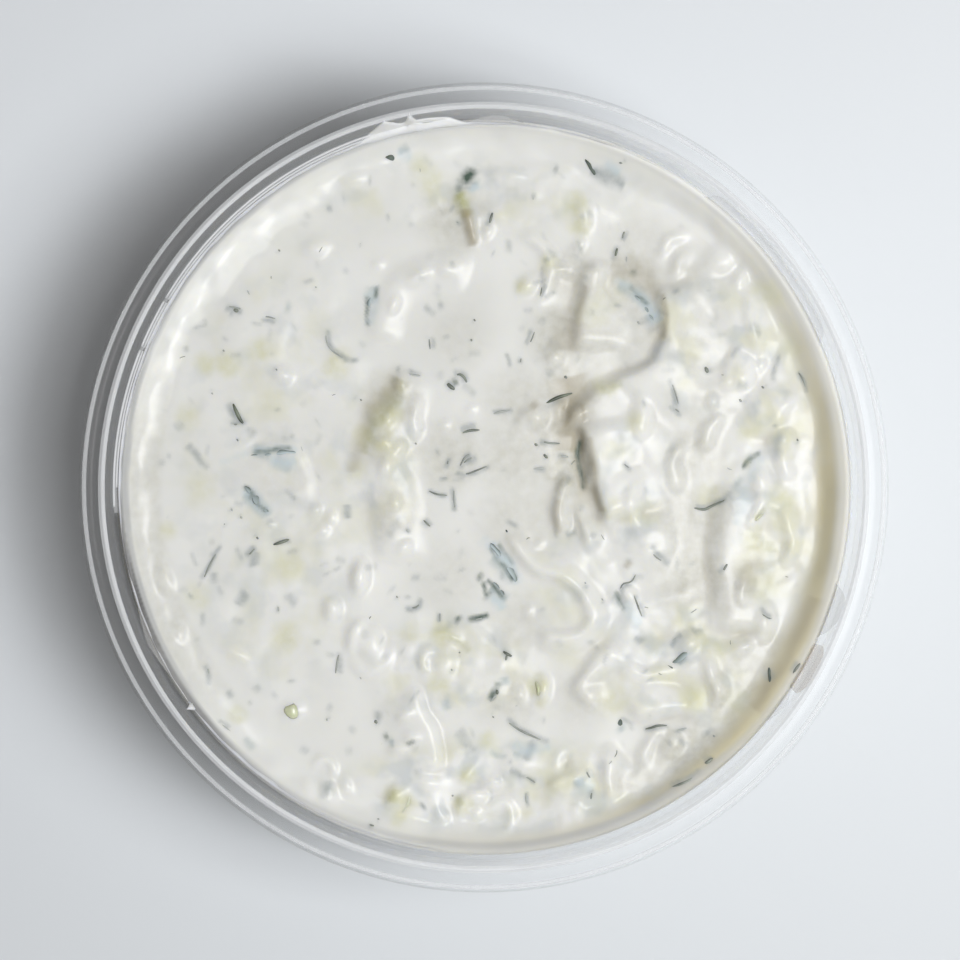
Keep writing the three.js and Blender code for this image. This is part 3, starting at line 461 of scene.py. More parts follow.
# Veils of pale blue-grey skin seen through the yoghurt: strength, width, then the line.
VEILS = [
    (0.9, 1.3, [(0.8, -7.8), (2.5, -9.8), (4.1, -11.7), (5.3, -14.5)]),
    (0.9, 1.6, [(1.8, -15.6), (2.9, -18.2)]),
    (0.5, 1.3, [(-0.4, -7.4), (0.9, -8.0)]),
    (0.8, 1.5, [(-31.4, 4.0), (-29.3, 3.5), (-27.2, 4.1)]),
    (0.7, 0.9, [(-34.0, 4.8), (-30.6, 5.0), (-27.0, 5.2)]),
    (0.4, 0.8, [(-38.2, 4.4), (-34.2, 4.7)]),
    (0.7, 1.5, [(-34.8, 0.0), (-33.2, -1.5), (-31.4, -3.6)]),
    (0.9, 1.2, [(-1.5, 44.5), (-0.8, 43.4)]),
    (0.8, 1.7, [(21.9, 28.5), (23.8, 26.4), (25.0, 24.0)]),
    (0.5, 1.0, [(19.2, 30.5), (21.9, 28.5)]),
    (0.7, 1.2, [(-17.0, 29.0), (-16.3, 26.5), (-16.9, 23.6)]),
    (0.5, 1.5, [(40.8, 4.0), (39.6, 1.6), (38.1, -1.5), (36.9, -6.2)]),
    (0.7, 1.3, [(20.4, -16.6), (21.6, -18.6), (22.8, -20.4)]),
    (0.6, 1.4, [(4.2, -37.4), (6.6, -38.4), (9.6, -38.0)]),
    (0.6, 1.4, [(13.4, -42.6), (14.8, -43.6), (16.0, -44.6)]),
    (0.7, 1.3, [(17.2, 47.0), (19.6, 45.4)]),
    (0.6, 1.2, [(-12.8, 48.2), (-10.4, 47.6)]),
]

# Dark green cores of skin: strength, width, then the line.
CORES = [
    (1.0, 1.0, [(-0.5, -12.7), (0.2, -13.6)]),
    (0.8, 0.7, [(0.2, -13.6), (0.9, -16.2)]),
    (0.7, 0.5, [(0.9, -13.4), (2.1, -14.5), (3.5, -16.4)]),
    (0.6, 0.5, [(1.2, -8.4), (2.1, -10.2), (3.4, -12.0), (4.6, -14.2)]),
    (0.5, 0.45, [(2.0, -7.9), (3.2, -9.6), (4.6, -11.8)]),
    (0.9, 0.8, [(4.3, -12.6), (4.9, -13.9)]),
    (0.8, 0.7, [(-4.3, -19.5), (-3.3, -19.1)]),
    (0.9, 0.7, [(-2.4, -19.6), (-0.3, -19.1), (0.9, -18.7)]),
    (0.8, 1.0, [(-4.6, 15.0), (-3.4, 15.3)]),
    (0.8, 0.8, [(2.4, -28.4), (1.9, -29.8), (1.2, -31.2)]),
    (0.6, 1.0, [(-14.8, -36.6), (-13.4, -36.2)]),
    (0.7, 0.5, [(-34.9, 0.3), (-33.8, -0.6), (-32.8, -2.0), (-31.6, -3.4)]),
    (0.5, 0.7, [(-34.2, -1.2), (-33.0, -1.2)]),
    (0.6, 0.5, [(-34.0, 4.6), (-32.2, 4.6), (-30.6, 5.0), (-28.0, 5.3)]),
    (1.0, 1.5, [(-1.3, 47.0), (-2.2, 45.6), (-2.9, 44.4)]),
    (0.9, 1.0, [(-2.9, 44.6), (-3.5, 43.4)]),
    (0.5, 0.5, [(-2.8, 43.8), (-1.4, 44.0)]),
    (0.6, 0.6, [(21.4, 28.9), (22.6, 27.6), (23.6, 26.6)]),
    (0.5, 0.5, [(21.8, 31.6), (22.2, 30.4)]),
    (0.8, 0.6, [(37.9, 2.0), (38.9, 3.4), (40.7, 4.3)]),
    (0.6, 0.5, [(-17.4, 28.4), (-17.3, 25.6), (-17.0, 23.4)]),
    (0.6, 0.5, [(-15.9, 29.4), (-16.2, 27.4)]),
    (0.7, 0.6, [(1.2, -15.0), (1.5, -15.8)]),
    (0.8, 0.5, [(14.2, 7.0), (14.2, 3.2), (14.4, -0.4)]),
    (0.5, 0.5, [(28.0, -25.4), (29.2, -24.4)]),
    (0.6, 0.5, [(18.9, -14.6), (19.6, -16.4), (20.4, -18.0)]),
    (0.5, 0.5, [(-11.0, -37.6), (-9.4, -36.8)]),
]

# Olive flesh, and painted brown shade in the folds: strength, width, then the line.
OLIVES = [
    (1.0, 1.7, [(-3.3, 43.4), (-2.8, 41.0), (-2.2, 39.5)]),
    (0.5, 2.2, [(-12.2, 15.4), (-14.5, 11.5), (-16.1, 8.9), (-17.6, 5.0)]),
    (0.9, 0.8, [(39.6, -4.9), (40.4, -4.0), (41.6, -3.1)]),
    (0.6, 1.2, [(38.2, 2.8), (39.2, 3.0)]),
    (0.4, 1.4, [(17.2, 13.9), (20.7, 15.2)]),
    (0.5, 1.2, [(41.8, -7.6), (41.6, -9.8)]),
    (0.5, 0.9, [(-5.2, -21.4), (-3.4, -22.2), (-1.8, -23.6)]),
    (0.4, 1.0, [(-8.8, -24.4), (-8.2, -27.2)]),
    (0.6, 1.2, [(-12.6, -43.4), (-13.2, -45.6)]),
    (0.5, 1.0, [(-3.8, -44.4), (-3.2, -46.6)]),
]
BROWN_SHADES = [
    (0.9, 1.6, [(-2.6, 41.0), (-1.9, 37.5), (-1.4, 35.0)]),
    (0.45, 2.0, [(-12.6, 15.8), (-15.0, 12.4), (-17.2, 9.4), (-18.4, 5.6), (-19.2, 2.4)]),
    (0.7, 0.9, [(15.6, 7.4), (15.9, 3.2), (16.4, -0.6), (17.4, -3.6)]),
    (1.0, 1.3, [(11.8, 12.4), (12.6, 10.4), (12.4, 8.2)]),
    (0.8, 0.9, [(14.6, 12.6), (14.9, 10.4), (15.0, 8.4)]),
    (0.6, 1.5, [(6.6, 12.8), (7.6, 11.8)]),
    (0.8, 4.2, [(12.6, 16.6), (13.0, 12.6), (12.8, 5.0)]),
    (0.45, 3.6, [(12.5, 19.6), (13.5, 24.4)]),
    (0.35, 3.0, [(18.5, 32.5), (22.5, 31.0), (25.5, 28.0)]),
    (0.5, 1.7, [(48.2, -16.0), (46.8, -20.4), (45.0, -24.2), (42.8, -28.2), (39.8, -32.2)]),
    (0.3, 2.6, [(39.4, -10.4), (38.4, -15.4)]),
    (0.6, 1.0, [(25.8, 28.6), (26.4, 25.0), (25.8, 21.4)]),
    (0.5, 1.0, [(14.2, 29.6), (13.8, 26.0), (14.4, 22.0)]),
    (0.5, 1.0, [(10.6, -1.4), (10.2, -4.4), (10.8, -6.8)]),
    (0.6, 0.8, [(21.6, -10.4), (20.8, -11.8)]),
]

# Skin pieces that show: half width, tilt in degrees, share of mint on the right, then the line.
SKINS = [
    (1.10, 8, 0.3, [(-1.2, 47.0), (-2.3, 45.4), (-3.4, 43.7)]),
    (0.45, 10, 0.1, [(-14.4, 48.3), (-13.6, 48.3), (-12.8, 47.8)]),
    (0.35, 0, 0.1, [(14.8, 47.9), (16, 46.3), (16.5, 44.8)]),
    (0.45, 30, 0.7, [(-17.2, 24.2), (-17, 26), (-16.6, 28), (-15.4, 30.2)]),
    (0.45, 25, 0.9, [(20.4, 29.4), (22.2, 28.0), (23.6, 26.7), (24.8, 24.4)]),
    (0.45, 25, 1.0, [(-34.0, 4.7), (-31.4, 4.9), (-29.2, 5.2), (-27, 5.1)]),
    (0.85, 12, 0.8, [(-34.9, 0.2), (-33.4, -1.2), (-32.4, -2.4), (-31.5, -3.6)]),
    (0.75, 14, 1.0, [(1.0, -8.2), (2.5, -9.9), (4.0, -11.7), (5.0, -14.2)]),
    (0.80, 15, 0.7, [(-0.5, -12.9), (0.1, -14), (0.7, -15.4), (1.2, -16.8)]),
    (0.30, 0, 0.8, [(0.9, -13.4), (2.1, -14.5), (3.5, -16.4)]),
    (0.35, 0, 0.0, [(3.1, -6), (3.9, -7.1)]),
    (0.50, 20, 0.5, [(37.6, 2.4), (38.8, 3.6), (40.9, 4.4)]),
    (0.60, 20, 0.7, [(27.6, -25.6), (28.6, -25), (29.7, -24)]),
    (0.30, 0, 0.1, [(26.8, -25.9), (28.6, -27.1)]),
    (0.50, 10, 0.1, [(41.7, -26.2), (41.9, -27.4), (41.8, -28.5)]),
    (0.35, 0, 0.4, [(-13.1, -3.6), (-12.4, -5.1)]),
    (0.45, 0, 0.2, [(20, -33.8), (19.9, -34.8), (19.8, -36.1)]),
    (0.60, 30, 0.3, [(-15.6, -37.5), (-14.2, -36.6), (-12.6, -36.1)]),
    (0.40, 10, 0.4, [(3, -27.3), (3.1, -28.3), (2.9, -29.3)]),
]

# Bare cucumber flesh that shows: half width, tilt, then the line.
FLESH = [
    (0.40, 10, [(41.6, -3.1), (40.6, -3.9), (39.6, -4.9)]),
    (0.40, 10, [(-10.8, -45), (-11.2, -46.4), (-12.4, -48.2)]),
    (0.90, 0, [(-29.2, -32.4), (-28, -32.7), (-26.8, -32.6)]),
    (0.40, 15, [(7.4, -27.6), (7.9, -29), (8.2, -30.6)]),
]

# Smears up the wall: azimuth and half width in degrees, reach along the wall, and how blunt
# their tops are. One is a bulb-shaped lobe.
LOBE_AZIMUTH = -29.2
LOBE_REACH = 6.6
ROUND = 0
THICK_SMEARS = [
    (101.3, 1.7, 7.6, 1.0), (105.2, 4.6, 6.2, 1.4), (101.5, 11.0, 2.6, 2.4), (216.9, 0.7, 1.5, 1.5),
]
LOBE_SMEARS = [(LOBE_AZIMUTH, 5.6, LOBE_REACH, ROUND)]
THIN_SMEARS = [
    (88.0, 8.0, 1.6, 1.6), (31.5, 9.0, 3.7, 5.0), (43.5, 9.5, 4.2, 6.0), (-19.0, 4.0, 5.8, 3.0),
    (-37.0, 5.0, 1.6, 1.6), (70.0, 9.0, 0.9, 1.4), (115.0, 4.0, 1.4, 2.0), (153.0, 8.0, 1.2, 1.4),
    (205.0, 12.0, 1.2, 1.6),
]

# Painted glints: milky bands along the ledge where its edges catch light, on the side away from the
# lamp, broken by two scratches: their inner and outer edges as shares of the ledge's width, then
# where they start and end in degrees.
LEDGE_GLINTS = [
    (0.10, 0.42, 109.0, 149.2), (0.10, 0.42, 149.8, 157.6), (0.10, 0.42, 158.2, 180.0),
    (0.58, 0.95, 106.0, 149.2), (0.58, 0.95, 149.8, 157.6), (0.58, 0.95, 158.2, 183.0),
]

# ---- The grid on which the relief and the tints are worked out ----

GRID_REACH = 54.6
GRID_COUNT = 540
GRID_STEP = 2 * GRID_REACH / (GRID_COUNT - 1)


def smooth(t):
    t = np.clip(t, 0.0, 1.0)
    return t * t * (3.0 - 2.0 * t)


def blurred(field, width):
    """The field blurred by a Gaussian of a width in millimetres."""
    waves = np.fft.fftfreq(GRID_COUNT, GRID_STEP)
    fade = np.exp(-2 * (np.pi * width * waves) ** 2)
    return np.real(np.fft.ifft2(np.fft.fft2(field) * np.outer(fade, fade)))


def soft_noise(width, seed):
    """Seeded noise on the grid, mostly from -1 to 1, its bumps about as wide as the width."""
    raw = np.random.RandomState(seed).standard_normal((GRID_COUNT, GRID_COUNT))
    field = blurred(raw, width)
    return field / (2 * field.std())


GRID_LINE = np.linspace(-GRID_REACH, GRID_REACH, GRID_COUNT)
GRID_X, GRID_Y = np.meshgrid(GRID_LINE, GRID_LINE, indexing="ij")
WARPED_X = GRID_X + 0.40 * soft_noise(2.4, 11) + 0.30 * soft_noise(1.0, 12)
WARPED_Y = GRID_Y + 0.40 * soft_noise(2.4, 13) + 0.30 * soft_noise(1.0, 14)
WARP_REACH = 1.6


def near(points, reach):
    """The part of the grid round some points."""
    low = np.floor((np.min(points, axis=0) - reach + GRID_REACH) / GRID_STEP).astype(int)
    high = np.ceil((np.max(points, axis=0) + reach + GRID_REACH) / GRID_STEP).astype(int) + 1
    return tuple(slice(max(a, 0), min(b, GRID_COUNT)) for a, b in zip(low, high))


def on_grid(field, x, y):
    """The field's value at any points, between the grid's own."""
    u = np.clip((np.asarray(x) + GRID_REACH) / GRID_STEP, 0, GRID_COUNT - 1.001)
    v = np.clip((np.asarray(y) + GRID_REACH) / GRID_STEP, 0, GRID_COUNT - 1.001)
    i, j = u.astype(int), v.astype(int)
    u, v = u - i, v - j
    low = field[i, j] * (1 - u) + field[i + 1, j] * u
    high = field[i, j + 1] * (1 - u) + field[i + 1, j + 1] * u
    return low * (1 - v) + high * v


def curved(points, steps):
    """A smooth curve through points, with some steps from each to the next."""
    p = np.array(points, float)
    p = np.vstack([2 * p[0] - p[1], p, 2 * p[-1] - p[-2]])
    curve = []
    for a, b, c, d in zip(p[:-3], p[1:-2], p[2:-1], p[3:]):
        for t in np.arange(steps) / steps:
            curve.append(0.5 * (2 * b + (c - a) * t + (2 * a - 5 * b + 4 * c - d) * t ** 2
                                + (3 * b - a - 3 * c + d) * t ** 3))
    curve.append(p[-2])
    return np.array(curve)


def stroke(points, left, right, taper):
    """A part of the grid and its values: 1 on the line, 0 at a width on its left and another
    on its right, fading over the taper towards both ends."""
    line = curved(points, 4)
    part = near(line, max(left, right) + WARP_REACH)
    x, y = WARPED_X[part], WARPED_Y[part]
    nearest = np.full(x.shape, np.inf)
    value = np.zeros_like(x)
    lengths = np.hypot(*np.diff(line, axis=0).T)
    total, start = lengths.sum(), 0.0
    for (ax, ay), (bx, by), length in zip(line[:-1], line[1:], lengths):
        dx, dy = (bx - ax) / length, (by - ay) / length
        along = np.clip((x - ax) * dx + (y - ay) * dy, 0, length)
        distance = np.hypot(x - ax - dx * along, y - ay - dy * along)
        width = np.where(dx * (y - ay) - dy * (x - ax) > 0, left, right)
        end = np.minimum(start + along, total - start - along)
        here = smooth(1 - distance / width) * smooth(0.15 + end / taper)
        value = np.where(distance < nearest, here, value)
        nearest = np.minimum(nearest, distance)
        start += length
    return part, value


def lump(x, y, half_length, half_width, turn):
    """A part of the grid and its values: a round-topped oval."""
    part = near(np.array([(x, y)]), max(half_length, half_width) + WARP_REACH)
    away_x, away_y = WARPED_X[part] - x, WARPED_Y[part] - y
    angle = math.radians(turn)
    along = away_x * math.cos(angle) + away_y * math.sin(angle)
    across = away_y * math.cos(angle) - away_x * math.sin(angle)
    reach = np.hypot(along / half_length, across / half_width)
    return part, smooth(1.25 * (1 - reach))


# ---- Relief and tints ----


def crowded():
    """How high the coated bits stand where they crowd."""
    crowd = np.zeros_like(GRID_X)
    for centre_x, centre_y, half_x, half_y, _, height in BIT_FIELDS:
        reach = np.hypot((WARPED_X - centre_x) / half_x, (WARPED_Y - centre_y) / half_y)
        crowd = np.maximum(crowd, height * smooth(1.6 * (1.25 - reach)))
    return crowd


CROWD = crowded()


def random_spot(draw, half_x, half_y):
    """A random place in an oval."""
    angle, away = draw.uniform(0, 2 * math.pi), math.sqrt(draw.random())
    return half_x * away * math.cos(angle), half_y * away * math.sin(angle)


def coated_bits():
    """Bumps of coated cucumber, crowded in the fields: broad plates, soft blobs and longer
    shreds that mostly lie along the wall."""
    draw = random.Random(7)
    shreds = np.zeros_like(GRID_X)
    for centre_x, centre_y, half_x, half_y, count, height in BIT_FIELDS:
        for _ in range(count):
            away_x, away_y = random_spot(draw, half_x, half_y)
            x, y = centre_x + away_x, centre_y + away_y
            turn = math.degrees(math.atan2(y, x)) + 90 + draw.uniform(-60, 60)
            part, value = lump(x, y, draw.uniform(1.2, 3.8), draw.uniform(0.6, 1.3), turn)
            value = value * height * draw.uniform(0.1, 0.6)
            shreds[part] = np.maximum(shreds[part], value)
    plates = smooth(0.5 + 1.5 * soft_noise(2.4, 27))
    blobs = smooth(0.5 + 1.0 * soft_noise(1.3, 23))
    grains = smooth(0.3 + 0.7 * soft_noise(0.6, 24))
    return 0.45 * shreds + CROWD * (1.0 * plates + 0.4 * blobs + 0.2 * grains)


def around_noise(angle, phase):
    """Slow change round the tub, from about -1 to 1."""
    return (np.sin(3 * angle + phase) + 0.8 * np.sin(7 * angle + 2.3 * phase)
            + 0.7 * np.sin(13 * angle + 3.1 * phase) + 0.5 * np.sin(29 * angle + phase)) / 2


def facing(azimuth, half_width):
    """1 at an azimuth in degrees, 0 beyond a half width from it, all round the dip."""
    away = np.abs((np.degrees(GRID_ANGLE) - azimuth + 180) % 360 - 180)
    return smooth(1.5 * (1 - away / half_width))


GRID_R = np.hypot(GRID_X, GRID_Y)
GRID_ANGLE = np.arctan2(GRID_Y, GRID_X)
LEVELLED = facing(-20, 120)
NARROWED = 1 - facing(-10, 60)
CLIMB_START = (EDGE_START + (0.2 + 1.0 * NARROWED) * LEVELLED
               + 0.6 * around_noise(GRID_ANGLE, 1.0) + 0.4 * soft_noise(2.4, 25)
               + 1.0 * soft_noise(1.2, 26) * (1 - LEVELLED))
CLIMB_END = EDGE_END + 0.2 * around_noise(GRID_ANGLE, 2.0)
CLIMB = np.clip((GRID_R - CLIMB_START) / (CLIMB_END - CLIMB_START), 0, 1)
CLIMB = (0.15 * CLIMB + 0.85 * CLIMB ** 3) * (1 - LEVELLED) + smooth(1.1 * CLIMB) * LEVELLED


def relief_field():
    relief = 0.26 * soft_noise(6.0, 21) + 0.10 * soft_noise(2.6, 22)
    for height, steep, gentle, line in FOLDS:
        part, value = stroke(line, steep, gentle, 2.4)
        relief[part] += height * value
    for x, y, half_length, half_width, turn, height in LUMPS:
        part, value = lump(x, y, half_length, half_width, turn)
        relief[part] += height * value
    relief += coated_bits()
    return RELIEF_LIMIT * np.tanh(relief / RELIEF_LIMIT)


STREAKS = 0.14 * soft_noise(0.9, 45) * smooth(4 * CLIMB) * (1 - CLIMB)
HEIGHT = DIP_LEVEL + blurred(relief_field() * (1 - CLIMB) + EDGE_RISE * CLIMB + STREAKS, 0.34)


def line_tints(marks):
    tint = np.zeros_like(GRID_X)
    for strength, width, line in marks:
        part, value = stroke(line, width, width, 0.5)
        tint[part] = np.maximum(tint[part], strength * value)
    return tint


def spot_tints(spots):
    tint = np.zeros_like(GRID_X)
    for x, y, radius, strength in spots:
        part, value = lump(x, y, radius * 1.5, radius * 1.5, 0)
        tint[part] = np.maximum(tint[part], strength * value)
    return tint


def random_sunk():
    """Faint marks of chopped dill too deep to see, all over the dip."""
    draw = random.Random(19)
    marks = []
    for _ in range(240):
        x, y = random_spot(draw, 48, 48)
        turn, length = draw.uniform(0, 2 * math.pi), draw.uniform(0.4, 2.4)
        ends = [(x, y), (x + length * math.cos(turn), y + length * math.sin(turn))]
        marks.append((draw.uniform(0.06, 0.3), draw.uniform(0.4, 1.1), ends))
    return marks


def cavity():
    """How far the surface lies below what is round it."""
    return (blurred(HEIGHT, 1.4) - HEIGHT) * (GRID_R < CLIMB_START - 1)


def beyond(radius, width):
    """0 inside a radius, rising to 1 over a width outside it."""
    return smooth((GRID_R - radius) / width)


# Stretches of the edge that look different: below, below right, and at the bottom.
BELOW = facing(-80, 45)
BELOW_RIGHT = facing(-34, 24)
BOTTOM = facing(-75, 45)

# A pale line of painted light where the lit edge meets the wall, then the beige band of painted shade
# inside it, on the slope up the wall that faces away from the lamp: where it is fullest, and over
# what width it comes up.
LIT_LINE = (beyond(52.7, 0.3) * (1 - facing(173, 110)) * (1 - 0.8 * BOTTOM)
            * (1 - 0.5 * BELOW_RIGHT))
BAND = 50.4 + NARROWED + BOTTOM + BELOW_RIGHT + 0.15 * soft_noise(2.0, 44)
BAND_FADE = 3.4 - 0.8 * BOTTOM + 0.8 * BELOW_RIGHT
BEIGE_SHADE = (smooth((GRID_R - BAND + BAND_FADE) / (BAND_FADE - 0.4))
         * (1 - 0.6 * beyond(BAND + 0.5, 1.4)) * (1 - 0.3 * facing(-85, 40))
         * facing(-28, 85) * (1 - LIT_LINE))

# A grey band at the edge by the wall, on the shaded side and on the lit side: the wall's film seen
# through the edge, darkened as painted shade where the wall and the edge's lip shade it.
FILM_SHADE_START = 52.2 - 0.6 * facing(192, 45) - 0.1 * facing(128, 30) + 0.12 * soft_noise(1.6, 28)
FILM_SHADE_LIT_START = 50.7 + NARROWED - 0.4 * BELOW + 0.9 * BELOW_RIGHT
FILM_SHADE_LIT = ((0.6 - 0.2 * facing(-10, 50) + 0.35 * BELOW) * beyond(FILM_SHADE_LIT_START, 0.9)
            * facing(-20, 140) * (1 - LIT_LINE))

# Painted light: a ragged pale streak inside the edge at the upper left, where the climb faces the
# lamp. Painted shade: a duller stretch at the left.
LIT_STREAK_START = 47.3 + 0.7 * soft_noise(1.2, 29)
LIT_STREAK = (beyond(LIT_STREAK_START, 0.6) * (1 - beyond(51.0, 1.0)) * facing(146, 40)
               * smooth(0.6 + 0.9 * soft_noise(1.1, 43)))
SHADE_AT_LEFT_EDGE = beyond(46.5, 1.5) * (1 - beyond(51.4, 0.8)) * facing(190, 40)

UNEVEN = 0.6 + 0.4 * smooth(0.5 + soft_noise(1.6, 42))
DILL_SHADE = [(0.6, 2.2 * radius + 0.25, line) for radius, line in DILL]
TINTS = {
    # Painted shade: the shaded spots, and the duller stretch at the left.
    "shaded": np.maximum(spot_tints(SHADED), 0.4 * SHADE_AT_LEFT_EDGE),
    # Painted shadow: a dark line where the edge meets the wall, on the side away from the lamp.
    "gap_shadow": beyond(52.75 - 0.45 * facing(208, 32), 0.25) * facing(173, 75),
    "sunk": np.maximum(1.6 * line_tints(SUNK + random_sunk()), line_tints(DILL_SHADE)),
    "greened": 1.5 * line_tints(GREENED),
    "fleshed": spot_tints(FLESHED),
    # Painted shade in the hollows, and darker in the deeper creases.
    "hollow_shade": smooth(cavity() / 0.5) * UNEVEN,
    "deep": smooth((cavity() - 0.25) / 0.5) * UNEVEN,
    "crowd": CROWD / CROWD.max(),
    # Painted light: the ragged streak and the line on the lit edge.
    "pale": np.maximum(LIT_STREAK, LIT_LINE),
    # Painted shade on the slope up the wall that faces away from the lamp.
    "beige_shade": BEIGE_SHADE,
    # Partly painted shade: the grey band by the wall.
    "film_shade": beyond(FILM_SHADE_START, 0.4) * facing(170, 100) + FILM_SHADE_LIT,
    "veil": line_tints(VEILS),
    "olive": line_tints(OLIVES),
    # Painted shade in the folds.
    "brown_shade": line_tints(BROWN_SHADES),
    "core": line_tints(CORES),
}

# Fine seeded noise that frays the edges of the skin.
RAGGED = soft_noise(0.45, 41)


def surface(x, y):
    return on_grid(HEIGHT, x, y)


def wall_radius(z):
    share = (z - HEEL_RADIUS) / (WALL_TOP - HEEL_RADIUS)
    return WALL_FOOT + (LEDGE_INNER - WALL_FOOT) * share


# ---- Mesh helpers ----


def arc(centre_r, centre_z, radius, start, end, steps):
    return [
        (
            centre_r + radius * math.cos(math.radians(start + (end - start) * i / steps)),
            centre_z + radius * math.sin(math.radians(start + (end - start) * i / steps)),
        )
        for i in range(steps + 1)
    ]


def rounded(corners):
    """A profile whose corners, each r, z and how far to cut it back, are rounded."""
    steps, points = 4, []
    for i, (r, z, cut) in enumerate(corners):
        here = np.array((r, z))
        if not cut:
            points.append((r, z))
            continue
        before = np.array(corners[i - 1][:2]) - here
        after = np.array(corners[i + 1][:2]) - here
        start = here + before / np.linalg.norm(before) * cut
        end = here + after / np.linalg.norm(after) * cut
        for t in np.arange(steps + 1) / steps:
            points.append(tuple((1 - t) ** 2 * start + 2 * t * (1 - t) * here + t ** 2 * end))
    return points


def supported(profile):
    """A profile with points added close to the ends of its long straights, so that smooth
    shading keeps the straights flat."""
    points = [profile[0]]
    for (r0, z0), (r1, z1) in zip(profile[:-1], profile[1:]):
        length = math.hypot(r1 - r0, z1 - z0)
        if length > 3 * SUPPORT:
            for share in (SUPPORT / length, 1 - SUPPORT / length):
                points.append((r0 + (r1 - r0) * share, z0 + (z1 - z0) * share))
        points.append((r1, z1))
    return points


def add_piece(name, points, faces, material, attributes=None):
    mesh = bpy.data.meshes.new(name)
    mesh.from_pydata([tuple(p) for p in np.asarray(points) * MM], [], faces)
    mesh.polygons.foreach_set("use_smooth", [True] * len(mesh.polygons))
    mesh.materials.append(material)
    for key, values in (attributes or {}).items():
        layer = mesh.attributes.new(key, "FLOAT", "POINT")
        layer.data.foreach_set("value", np.asarray(values, dtype=np.float32))
    mesh.update()
    piece = bpy.data.objects.new(name, mesh)
    bpy.context.scene.collection.objects.link(piece)
    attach(piece, "root")
    return piece


def lathe(profile, segments):
    """Points and faces of a closed body of revolution whose profile starts and ends on the axis."""
    points = [(0, 0, profile[0][1]), (0, 0, profile[-1][1])]
    rings = profile[1:-1]
    for radius, z in rings:
        for i in range(segments):
            angle = 2 * math.pi * i / segments
            points.append((radius * math.cos(angle), radius * math.sin(angle), z))
    faces = []
    last = 2 + (len(rings) - 1) * segments
    for i in range(segments):
        j = (i + 1) % segments
        faces.append((0, 2 + j, 2 + i))
        faces.append((1, last + i, last + j))
        for ring in range(len(rings) - 1):
            a = 2 + ring * segments
            b = a + segments
            faces.append((a + i, a + j, b + j, b + i))
    return points, faces


def tube(path, half_widths, half_heights, tilt, sides):
    """Points and faces of a closed flat or round tube along a path, and how far right each
    point lies."""
    path = np.asarray(path, float)
    along = np.gradient(path, axis=0)
    along /= np.linalg.norm(along, axis=1)[:, None]
    side = np.cross(along, (0, 0, 1))
    side /= np.linalg.norm(side, axis=1)[:, None]
    up = np.cross(side, along)
    lean = math.radians(tilt)
    right = side * math.cos(lean) + up * math.sin(lean)
    top = up * math.cos(lean) - side * math.sin(lean)
    points, across = [path[0]], [0.0]
    for centre, r, t, half_width, half_height in zip(path, right, top, half_widths, half_heights):
        for i in range(sides):
            angle = 2 * math.pi * i / sides
            points.append(centre + half_width * math.cos(angle) * r
                          + half_height * math.sin(angle) * t)
            across.append(math.cos(angle))
    points.append(path[-1])
    across.append(0.0)
    last = len(points) - 1
    faces = []
    for i in range(sides):
        j = (i + 1) % sides
        faces.append((0, 1 + i, 1 + j))
        faces.append((last, last - sides + j, last - sides + i))
        for ring in range(len(path) - 1):
            a = 1 + ring * sides
            b = a + sides
            faces.append((a + i, b + i, b + j, a + j))
    return points, faces, across


class Gathered:
    """Many small closed bodies gathered into one mesh."""

    def __init__(self):
        self.points, self.faces, self.marks = [], [], []

    def add(self, points, faces, marks):
        start = len(self.points)
        self.points.extend(points)
        self.faces.extend(tuple(start + i for i in face) for face in faces)
        self.marks.extend(marks)


# ---- Materials ----


